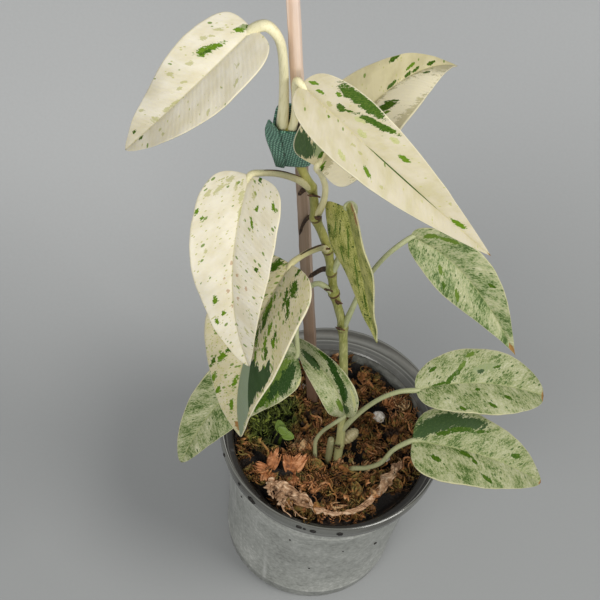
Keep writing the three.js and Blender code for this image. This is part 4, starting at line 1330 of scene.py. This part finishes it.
def make_blade(leaf):
    """The blade: a fine sheet along the midrib, with its flat map in millimetres."""
    margins, flat = [], []

    def place_at(t, v):
        point, _, spot = blade_point(leaf, min(1, max(0, t ** 1.15)), min(1, max(-1, v)))
        margins.append(abs(v))
        flat.append(spot)
        return point

    made = sheet(84, 52, place_at)
    made.data.attributes.new("margin", "FLOAT", "POINT").data.foreach_set("value", margins)
    layer = made.data.uv_layers[0]
    layer.name = "leaf_mm"
    for corner in made.data.loops:
        layer.data[corner.index].uv = flat[corner.vertex_index]
    return thicken(welded(made), BLADE_THICKNESS)


PETIOLE_STEPS = 110


def make_petiole(leaf):
    """The petiole: a tapering stalk that swells below the blade and runs on as its keel."""
    keel = [blade_point(leaf, s, 0) for s in (0.05, 0.12, 0.2, 0.32, 0.46, 0.62)]
    points = [*leaf["petiole"], leaf["foot"]]
    points += [point - up * (0.55 + 0.5 * leaf["radius"] * (1 - i / 6))
               for i, (point, up, _) in enumerate(keel)]
    route = smooth_path(points, PETIOLE_STEPS)
    knee = (len(leaf["petiole"]) - 0.2) / (len(points) - 1)
    swell, spread = leaf.get("knee", (0.16, 0.06))
    radii = []
    for i in range(PETIOLE_STEPS):
        t = i / (PETIOLE_STEPS - 1)
        base = 1 + 0.28 * math.exp(-(t / 0.08) ** 2) + swell * math.exp(-((t - knee) / spread) ** 2)
        on_keel = max(0, (t - knee) / (1 - knee))
        taper = 0.94 - 0.1 * t / knee if t < knee else 0.84 - 0.66 * on_keel
        radii.append(leaf["radius"] * base * taper)
    parts = [swept("petiole", route, radii, roundness=3)]
    if "edge" in leaf:
        start, end = (int(knee * PETIOLE_STEPS * share) for share in leaf["edge"])
        line = [point + Vector((0, 0.3, 0.95)) * radius * 1.02
                for point, radius in zip(route[start:end], radii[start:end])]
        thin = [0.42 * math.sin(math.pi * (0.08 + 0.9 * i / len(line))) ** 0.5
                for i in range(len(line))]
        parts.append(swept("sheath_edge", line, thin, roundness=1))
    return parts


def marks_share(tree, place, ragged, marks):
    """A share that is 1 inside the listed ragged marks."""
    nearest = None
    for along, across, long, wide, turn in marks:
        local = add_node(tree, "Mapping", {
            "Vector": place, "Location": (along, across, 0),
            "Rotation": (0, 0, math.radians(turn)), "Scale": (long, wide, 1),
        }, vector_type="TEXTURE")
        reach = add_node(tree, "VectorMath", {0: local}, operation="LENGTH").outputs["Value"]
        nearest = reach if nearest is None else add_node(
            tree, "Math", {0: nearest, 1: reach}, operation="MINIMUM").outputs[0]
    edge = add_node(tree, "Math", {0: nearest, 1: ragged}, operation="ADD")
    return add_node(tree, "MapRange", {"Value": edge, "From Min": 1.1, "From Max": 0.94}).outputs[0]


def fleck_share(tree, veins, spacing, share, size):
    """A share that is 1 inside small flecks: one cell in so many has one, of up to that size."""
    cells = add_node(
        tree, "Mapping", {"Vector": veins, "Scale": (1 / spacing, 0.74 / spacing, 1)})
    cell = add_node(tree, "TexVoronoi", {"Vector": cells, "Scale": 1.0})
    luck = add_node(tree, "SeparateXYZ", {0: cell.outputs["Color"]}).outputs["X"]
    reach = add_node(tree, "MapRange", {
        "Value": luck, "From Min": 1 - share, "From Max": 1 - 0.4 * share, "To Max": size})
    inside = add_node(
        tree, "Math", {0: reach, 1: cell.outputs["Distance"]}, operation="SUBTRACT")
    return add_node(
        tree, "MapRange", {"Value": inside, "From Max": 0.08, "To Max": 0.9}).outputs[0]


# Living leaf skin under a thin wax, with a soft dull sheen: cream or grey green, speckled
# along its side veins by streaks of 1 to 2 mm, with ragged green splashes and a pale brim.
SPECKLED_GREENS = ("#48602c", "#687a45", "#899264", "#a0a47c", "#aeb08c", "#bebd9f")
GREEN_PLACES = (0.395, 0.43, 0.465, 0.51, 0.57, 0.645)
RIB_PITCH = math.tau / 1.9


def leaf_skin(leaf):
    """Skin of one blade on its flat map: ground, speckle along the veins, marks and midrib."""
    material, tree = new_material("waxy_" + leaf["kind"] + "_" + leaf["name"])
    cream = leaf["kind"] == "cream"
    seed = leaf["width"] * 7.3 + leaf["length"]
    flat = add_node(tree, "UVMap", uv_map="leaf_mm")
    parts = add_node(tree, "SeparateXYZ", {0: flat})
    along, across = parts.outputs["X"], parts.outputs["Y"]
    off = add_node(tree, "Math", {0: across}, operation="ABSOLUTE")
    hand = add_node(tree, "Math", {0: across}, operation="SIGN")
    slant = leaf.get("slant", VEIN_SLANT)
    rake = add_node(tree, "Math", {0: off, 1: -slant, 2: along}, operation="MULTIPLY_ADD")
    lane = add_node(tree, "Math", {0: hand, 1: 31.0, 2: seed}, operation="MULTIPLY_ADD")
    veins = add_node(tree, "CombineXYZ", {0: rake, 1: off, 2: lane})
    fine, loose = leaf.get("streak", (1.0, 0.42))
    streaky = add_node(tree, "Mapping", {"Vector": veins, "Scale": (fine, loose, 1)})
    streaks = add_node(
        tree, "TexNoise", {"Vector": streaky, "Scale": 1.0, "Detail": 4.0, "Roughness": 0.62})
    grains = add_node(tree, "Mapping", {"Vector": veins, "Scale": (2.3, 1.5, 1)})
    grain = add_node(
        tree, "TexNoise", {"Vector": grains, "Scale": 1.0, "Detail": 3.0, "Roughness": 0.6})
    broad = add_node(tree, "TexNoise", {"Vector": veins, "Scale": 0.17, "Detail": 3.0})
    torn = leaf.get("torn", 0.6)
    ragged = add_node(
        tree, "Math", {0: streaks, 1: 2.6 * torn, 2: -1.3 * torn}, operation="MULTIPLY_ADD")
    ragged = add_node(tree, "Math", {0: grain, 1: 2.0 * torn, 2: ragged}, operation="MULTIPLY_ADD")
    ragged = add_node(tree, "Math", {0: ragged, 1: torn}, operation="SUBTRACT")
    jag = add_node(tree, "VectorMath", {
        0: streaks.outputs["Color"], 1: (2.6, 1.0, 0), 2: (-1.3, -0.5, 0),
    }, operation="MULTIPLY_ADD")
    warped = add_node(tree, "VectorMath", {0: flat, 1: jag}, operation="ADD")
    if cream:
        low, high = leaf.get("ground", ("#d3cbb0", "#ded8c5"))
        skin = add_node(tree, "ValToRGB", {0: broad}, stops=((0.32, low), (0.62, high))).outputs[0]
        tinge = add_node(
            tree, "MapRange", {"Value": streaks, "From Min": 0.58, "From Max": 0.8, "To Max": 0.4})
        skin = mix_colour(tree, tinge, skin, "#c9cb93")
        many = leaf.get("flecks", 0.04)
        pale_flecks = fleck_share(tree, veins, spacing=0.8, share=many * 1.5, size=0.42)
        skin = mix_colour(tree, pale_flecks, skin, "#b4b377")
        green_flecks = fleck_share(tree, veins, spacing=1.3, share=many * 0.7, size=0.46)
        skin = mix_colour(tree, green_flecks, skin, "#6a8433")
    else:
        blend = add_node(tree, "Mix", {0: 0.55, 2: streaks, 3: grain}, data_type="FLOAT")
        blend = add_node(tree, "Mix", {0: 0.36, 2: blend, 3: broad}, data_type="FLOAT")
        greens = leaf.get("greens", SPECKLED_GREENS)
        shift = (0.5 - leaf["ground"]) * 0.3
        skin = add_node(tree, "ValToRGB", {0: blend}, stops=[
            (spot + shift, green) for spot, green in zip(GREEN_PLACES, greens)]).outputs[0]
        dark_flecks = fleck_share(tree, veins, spacing=1.2, share=0.2, size=0.4)
        skin = mix_colour(tree, dark_flecks, skin, greens[0])
    rib = add_node(
        tree, "MapRange", {"Value": off, "From Min": 0.5, "From Max": 0.15, "To Max": 0.5})
    skin = mix_colour(tree, rib, skin, "#bdb685" if cream else "#9ea571")
    for tone, colour in TONES.items():
        if tone not in leaf["marks"]:
            continue
        if tone == "line":
            inside = marks_share(tree, flat, 0.0, leaf["marks"][tone])
        else:
            inside = marks_share(tree, warped, ragged, leaf["marks"][tone])
        # Cream marks, which are painted light, and line marks are laid plain, without wear.
        if tone not in ("line", "cream"):
            shade = add_node(tree, "MapRange", {
                "Value": grain, "From Min": 0.45, "From Max": 0.7, "To Max": 0.4})
            worn = "#566d3c" if tone in ("slate", "vivid") else "#7e9138"
            colour = mix_colour(tree, shade, colour, worn)
        if tone in ("olive", "rust"):
            inside = add_node(tree, "Math", {0: inside, 1: 0.6}, operation="MULTIPLY")
        skin = mix_colour(tree, inside, skin, colour)
    margin = add_node(tree, "Attribute", attribute_name="margin").outputs["Fac"]
    for side, above, dark, pale in leaf.get("sectors", ()):
        near = add_node(tree, "Math", {0: across, 1: side}, operation="MULTIPLY")
        near = add_node(tree, "MapRange", {"Value": near, "From Min": 0.0, "From Max": 0.3})
        teeth = add_node(tree, "Mapping", {"Vector": veins, "Scale": (0.12, 0.55, 1)})
        teeth = add_node(
            tree, "TexNoise", {"Vector": teeth, "Scale": 1.0, "Detail": 3.0, "Roughness": 0.6})
        start = add_node(tree, "SeparateXYZ", {0: warped}).outputs["X"]
        start = add_node(tree, "Math", {0: off, 1: 0.3, 2: start}, operation="MULTIPLY_ADD")
        start = add_node(tree, "Math", {0: teeth, 1: 16.0, 2: start}, operation="MULTIPLY_ADD")
        start = add_node(tree, "Math", {0: start, 1: 8.0}, operation="SUBTRACT")
        kept = add_node(tree, "Math", {0: teeth, 1: 0.5, 2: margin}, operation="MULTIPLY_ADD")
        kept = add_node(tree, "MapRange", {"Value": kept, "From Min": 1.14, "From Max": 1.11})
        past = add_node(
            tree, "MapRange", {"Value": start, "From Min": above, "From Max": above + 0.5})
        inside = add_node(tree, "Math", {0: near, 1: past}, operation="MULTIPLY")
        inside = add_node(tree, "Math", {0: inside, 1: kept}, operation="MULTIPLY")
        outer = add_node(tree, "Math", {0: rake, 1: -0.32, 2: off}, operation="MULTIPLY_ADD")
        outer = add_node(tree, "MapRange", {"Value": outer, "From Min": -5.6, "From Max": -5.2})
        tint = mix_colour(tree, outer, pale, dark)
        bleach = add_node(tree, "MapRange", {"Value": broad, "To Max": 0.3})
        tint = mix_colour(tree, bleach, tint, "#6f8560")
        skin = mix_colour(tree, inside, skin, tint)
    brim = add_node(tree, "MapRange", {
        "Value": margin, "From Min": 0.965, "From Max": 0.99, "To Max": 0.75})
    skin = mix_colour(tree, brim, skin, "#e3dcbf" if cream else "#cdc9a2")
    rim = add_node(tree, "Math", {0: rake, 1: RIB_PITCH}, operation="MULTIPLY")
    rim = add_node(tree, "Math", {0: rim}, operation="COSINE")
    relief = add_node(tree, "Mix", {0: 0.85, 2: rim, 3: grain}, data_type="FLOAT")
    finish_material(
        tree, skin, roughness=0.45, bump=relief, depth=0.09, Specular_IOR_Level=0.12,
        Subsurface_Weight=0.12, Subsurface_Radius=(1.0, 0.9, 0.4), Subsurface_Scale=0.0008)
    return material


# Living petiole skin: smooth and faintly glossy, cream on the pale leaves and grey
# green on the speckled ones, with long streaks of the other colour.
cream_petiole = stalk_skin(
    "cream_petiole", "#c8c08e", "#e2daab", "#ebe4bd", "#b9b678", "#7d5c34", bottom=0.2, top=0.3)
green_petiole = stalk_skin(
    "speckled_petiole", "#a9ab82", "#a4a97c", "#b4b88e", "#7d8754", "#7d5c34",
    bottom=0.08, top=0.22)
PETIOLE_SKINS = {"cream": cream_petiole, "speckled": green_petiole}
for leaf in LEAVES:
    grown = [make_blade(leaf), *make_petiole(leaf)]
    skins = [leaf_skin(leaf), PETIOLE_SKINS[leaf["kind"]], dry_sheath_skin]
    for part, skin in zip(grown, skins):
        part.data.materials.append(skin)
    made = joined(leaf["name"].replace("leaf", "grown_leaf"), grown)
    stands_for(made, "leaf_" + leaf["kind"], leaf["name"])


# Bud. A pale new shoot, no bigger than a barleycorn, pushes out of the stem's lowest joint.
# It is part of the stem's solid in the frame, so it stands for no node of its own.
BUD_PATH = [(5.4, -6.8, 90.6), (6.4, -5.8, 91.8), (7.6, -4.5, 93), (9, -3.1, 94), (9.9, -2.3, 94.7)]
BUD_STEPS = 30
BUD_RADIUS = 2.4

radii = [BUD_RADIUS * math.sin(math.pi * (0.1 + 0.88 * i / (BUD_STEPS - 1))) ** 0.6
         + 0.12 * math.sin(i * 1.3) for i in range(BUD_STEPS)]
bud = swept("pale_bud", smooth_path(BUD_PATH, BUD_STEPS), radii, roundness=4)
bud.data.materials.append(stalk_skin(
    "pale_bud_skin", "#766d4b", "#8c815c", "#a09672", "#5d5436", "#5c4326", bottom=0.08, top=0.1))
stands_for(bud, "stem_skin")


# Seedling. A weed seedling stands in the moss at the left, with two round seed leaves
# and the first small true leaf between them.
STALK_PATH = [(-19.5, -5.5, 73), (-19.2, -5.8, 80), (-18, -7, 86)]
# Each leaf: its middle, the way it points and half its length.
SEED_LEAVES = [
    ((-16.6, -7.5, 86.5), (1, -0.25, 0.25), 2.5), ((-19.2, -5.9, 86.8), (-1, 0.5, 0.2), 2.2),
    ((-20.6, -3.6, 85.6), (-0.5, 0.9, 0.3), 2.6),
]
SEED_LEAF_THICKNESS = 0.5
STALK_STEPS = 24


def seed_leaf(at, ahead, reach):
    """One small round leaf, cupped upwards."""
    forward = Vector(ahead).normalized()
    side = forward.cross(Vector((0, -0.3, 1))).normalized()
    up = side.cross(forward)

    def leaf_point(t, v):
        wide = reach * 0.8 * math.sin(math.pi * min(1, max(0, t)) ** 0.8) ** 0.6
        return (Vector(at) + forward * (t - 0.5) * 2 * reach + side * v * wide
                + up * (0.5 * v * v - 0.6 * t * t + 0.3))

    return thicken(welded(sheet(14, 8, leaf_point)), SEED_LEAF_THICKNESS)


radii = [0.75 - 0.2 * i / (STALK_STEPS - 1) for i in range(STALK_STEPS)]
stalk = swept("stalk", smooth_path(STALK_PATH, STALK_STEPS), radii, roundness=2)
seedling = joined("weed_seedling", [stalk, *(seed_leaf(*spot) for spot in SEED_LEAVES)])
seedling.data.materials.append(stalk_skin(
    "fresh_seedling_green", "#43551a", "#526920", "#6d8433", "#3f561a", "#5d4a20",
    bottom=0.075, top=0.088))
stands_for(seedling, "seedling_green", "seedling")


# Frills. Two small tufts of dried orange-brown moss stand in the bed at the left, each
# of a few ruffled lobes that fan out from one foot.
# Each tuft: its foot, and its lobes by their turn, length, width and lean outwards.
FRILLS = {
    "moss_frill_1": (
        (-20.5, -20, 76.5), [(84, 8.5, 5.0, 0.75), (190, 6.5, 4.6, 0.8), (265, 7.5, 6.0, 0.85)]),
    "moss_frill_2": (
        (-12.5, -19.5, 76.5), [(118, 8.5, 4.6, 0.7), (60, 9.5, 5.6, 0.75), (300, 6.5, 5.2, 0.9)]),
}
LOBE_THICKNESS = 0.5


def frill_lobe(at, turn, length, wide, lean):
    """One ruffled lobe with a torn upper edge."""
    out = Vector((math.cos(math.radians(turn)), math.sin(math.radians(turn)), 0))
    side = Vector((-out.y, out.x, 0))

    def lobe_point(t, v):
        torn = 0.5 * t * t * noise.noise(Vector((v * 3.4, 1, turn)))
        reach = length * t * (1 - 0.25 * v * v * t + torn)
        half = wide / 2 * (0.3 + 1.0 * t ** 0.7) * (1 - 0.3 * t ** 4)
        crumple = noise.noise(Vector((v * 2.2, t * 2.6, turn)))
        ruffle = 0.8 * t * math.sin(5.5 * v + turn) + 1.8 * t * crumple
        point = out * (lean * reach * t + ruffle + 0.5) + side * v * half
        return Vector(at) + point + Vector((0, 0, reach * (1 - 0.35 * lean * t)))

    return thicken(sheet(24, 18, lobe_point), LOBE_THICKNESS)


# Dried moss: orange brown and matt, paler where it has bleached.
frill_skin = papery("dried_orange_moss", "#653a1c", "#a4683b", "#d49c70", 0.7)
for node, (at, lobes) in FRILLS.items():
    frill = joined(node.replace("moss_frill", "ruffled_moss"),
                   [frill_lobe(at, *lobe) for lobe in lobes])
    frill.data.materials.append(frill_skin)
    stands_for(frill, "dried_foliage", node)


# Dried sheath. A long crinkled strip of old leaf sheath lies on the moss along the
# front of the pot, bent with the wall. Its left end has frayed and hangs over the rim.
SHEATH_PATH = [
    (-17.5, -27, 81.5), (-13.5, -30, 83), (-8, -32.2, 83.4), (-2, -34, 82.6), (4, -35, 82.8),
    (9, -34.6, 82.4), (14.5, -32.4, 82.8), (19.5, -27.6, 82.6), (23.5, -20.4, 83),
    (26.2, -14, 83), (28.6, -8.4, 82.6), (30, -5.4, 82),
]
SHEATH_THICKNESS = 0.26
# Each frayed strip: its line, its width, and the seed of its own crumple.
FRAYED = [
    ([(-14, -29, 83), (-14.5, -33, 85), (-13.5, -37.5, 87.6), (-12, -40.5, 88.8)], 3.6, 3),
    ([(-17.5, -26, 82), (-19.5, -29, 84), (-19, -33, 86), (-17, -36.5, 87.6)], 2.8, 7),
    ([(-10, -30, 83.5), (-8.5, -32, 87), (-4.5, -33, 87.6), (-1.5, -34.5, 84)], 2.6, 9),
    ([(-12, -36, 86.5), (-9.5, -39.5, 88.6), (-6, -42, 89), (-2.5, -43, 88.7)], 0.4, 5),
    ([(-14, -36, 86.5), (-13.5, -39, 88.9), (-11.5, -42, 89.2), (-8.5, -43.6, 88.6)], 0.5, 11),
    ([(-10, -36, 86), (-9, -38.6, 87.8), (-7.6, -41, 89), (-7, -43, 88.8)], 0.35, 13),
]


def strip(points, columns, rows, shape_at):
    """A narrow sheet along points; its function says how far each place lies aside and up."""
    spine = smooth_path(points, columns + 1)

    def strip_point(t, v):
        k = min(columns, max(0, round(t * columns)))
        ahead = (spine[min(columns, k + 1)] - spine[max(0, k - 1)]).normalized()
        side = Vector((0, 0, 1)).cross(ahead).normalized()
        aside, rise = shape_at(t, v)
        return spine[k] + side * aside + ahead.cross(side) * rise

    return thicken(sheet(columns, rows, strip_point), SHEATH_THICKNESS)


def sheath_shape(t, v):
    """The strip's shape: wide and lumpy at the left, then a narrow roll, ruffled at the right."""
    left, right = math.exp(-(t / 0.2) ** 2), math.exp(-((t - 0.84) / 0.14) ** 2)
    torn = noise.noise(Vector((t * 17, math.copysign(2, v), 3)))
    reach = 1.0 + 3.0 * left + 1.2 * right + (1.0 + 1.2 * right) * torn
    reach = max(0.5, reach) * min(1, 10 * t + 0.3, 10 * (1 - t) + 0.3)
    wander = 14 * noise.noise(Vector((t * 5, v, 1)))
    fold = 0.35 * math.sin(v * 5 + 9 * t) + 0.25 * math.sin(v * 11 + wander)
    crinkle = noise.noise(Vector((t * 19, v * 1.6, 5))) * (0.8 + 2.6 * left + 1.4 * right)
    crinkle += noise.noise(Vector((t * 55, v * 3.0, 8))) * (0.5 + 0.7 * left)
    frill = noise.noise(Vector((t * 30, math.copysign(4, v), 1)))
    frill = abs(v) ** 3 * (1.2 + 1.6 * right) * frill
    lean = 0.6 * math.sin(9 * t + 1) + 0.8 * noise.noise(Vector((t * 7, 2, 2)))
    rise = 0.6 - 0.8 * v * v + fold * (0.5 + left) + crinkle + frill
    across = v * reach
    return (across * math.cos(lean) - rise * math.sin(lean),
            across * math.sin(lean) + rise * math.cos(lean))


def frayed_strip(points, wide, seed):
    """One frayed strip, torn to a point and crumpled."""
    def frayed_shape(t, v):
        ragged = 0.7 + 0.9 * noise.noise(Vector((t * 9, math.copysign(1, v), seed)))
        aside = v * wide * (1 - t) ** 0.6 * ragged + 0.5 * noise.noise(Vector((t * 3, seed, 1)))
        crumple = 0.5 * noise.noise(Vector((t * 6, v * 2.2, seed)))
        return aside, wide * (crumple + 0.2 * math.sin(v * 4 + t * 5))

    return strip(points, 44, 10, frayed_shape)


sheath = joined("crinkled_sheath", [
    strip(SHEATH_PATH, 220, 18, sheath_shape), *(frayed_strip(*frayed) for frayed in FRAYED)])

# Dry sheath: tan paper, paler than the scraps on the stem, with pale blotches and streaks that are
# partly real bleaching and partly painted highlights.
sheath.data.materials.append(papery("dry_tan_sheath_painted_highlights", "#5f3f2b", "#aa8563", "#dcc0a0"))
stands_for(sheath, "dried_foliage", "dried_sheath")


# Perlite. Three white grains of puffed volcanic glass lie loose on the moss. They are
# chalky and matt, dusted in places, with pits of 0.6 mm.
material, tree = new_material("puffed_white_perlite")
place = add_node(tree, "TexCoord").outputs["Object"]
pits = add_node(tree, "TexVoronoi", {"Vector": place, "Scale": 1800.0})
dust = add_node(tree, "TexNoise", {"Vector": place, "Scale": 500.0, "Detail": 4.0})
white = add_node(tree, "ValToRGB", {0: dust}, stops=((0.35, "#b8ad9c"), (0.6, "#e9e5dc")))
finish_material(tree, white, roughness=0.9, bump=pits.outputs["Distance"], depth=0.3)
for node, (at, radius) in GRAINS.items():
    bpy.ops.mesh.primitive_ico_sphere_add(subdivisions=4, radius=radius * MM)
    grain = bpy.context.object
    for corner in grain.data.vertices:
        ray = corner.co.normalized()
        bump = 1 + 0.22 * noise.noise(ray * 1.6 + Vector(at))
        bump += 0.07 * noise.noise(ray * 6 + Vector(at))
        corner.co = corner.co * bump + Vector(at) * MM
    bpy.ops.object.shade_smooth()
    grain.name = node.replace("perlite", "perlite_grain")
    grain.data.materials.append(material)
    stands_for(grain, "perlite", node)
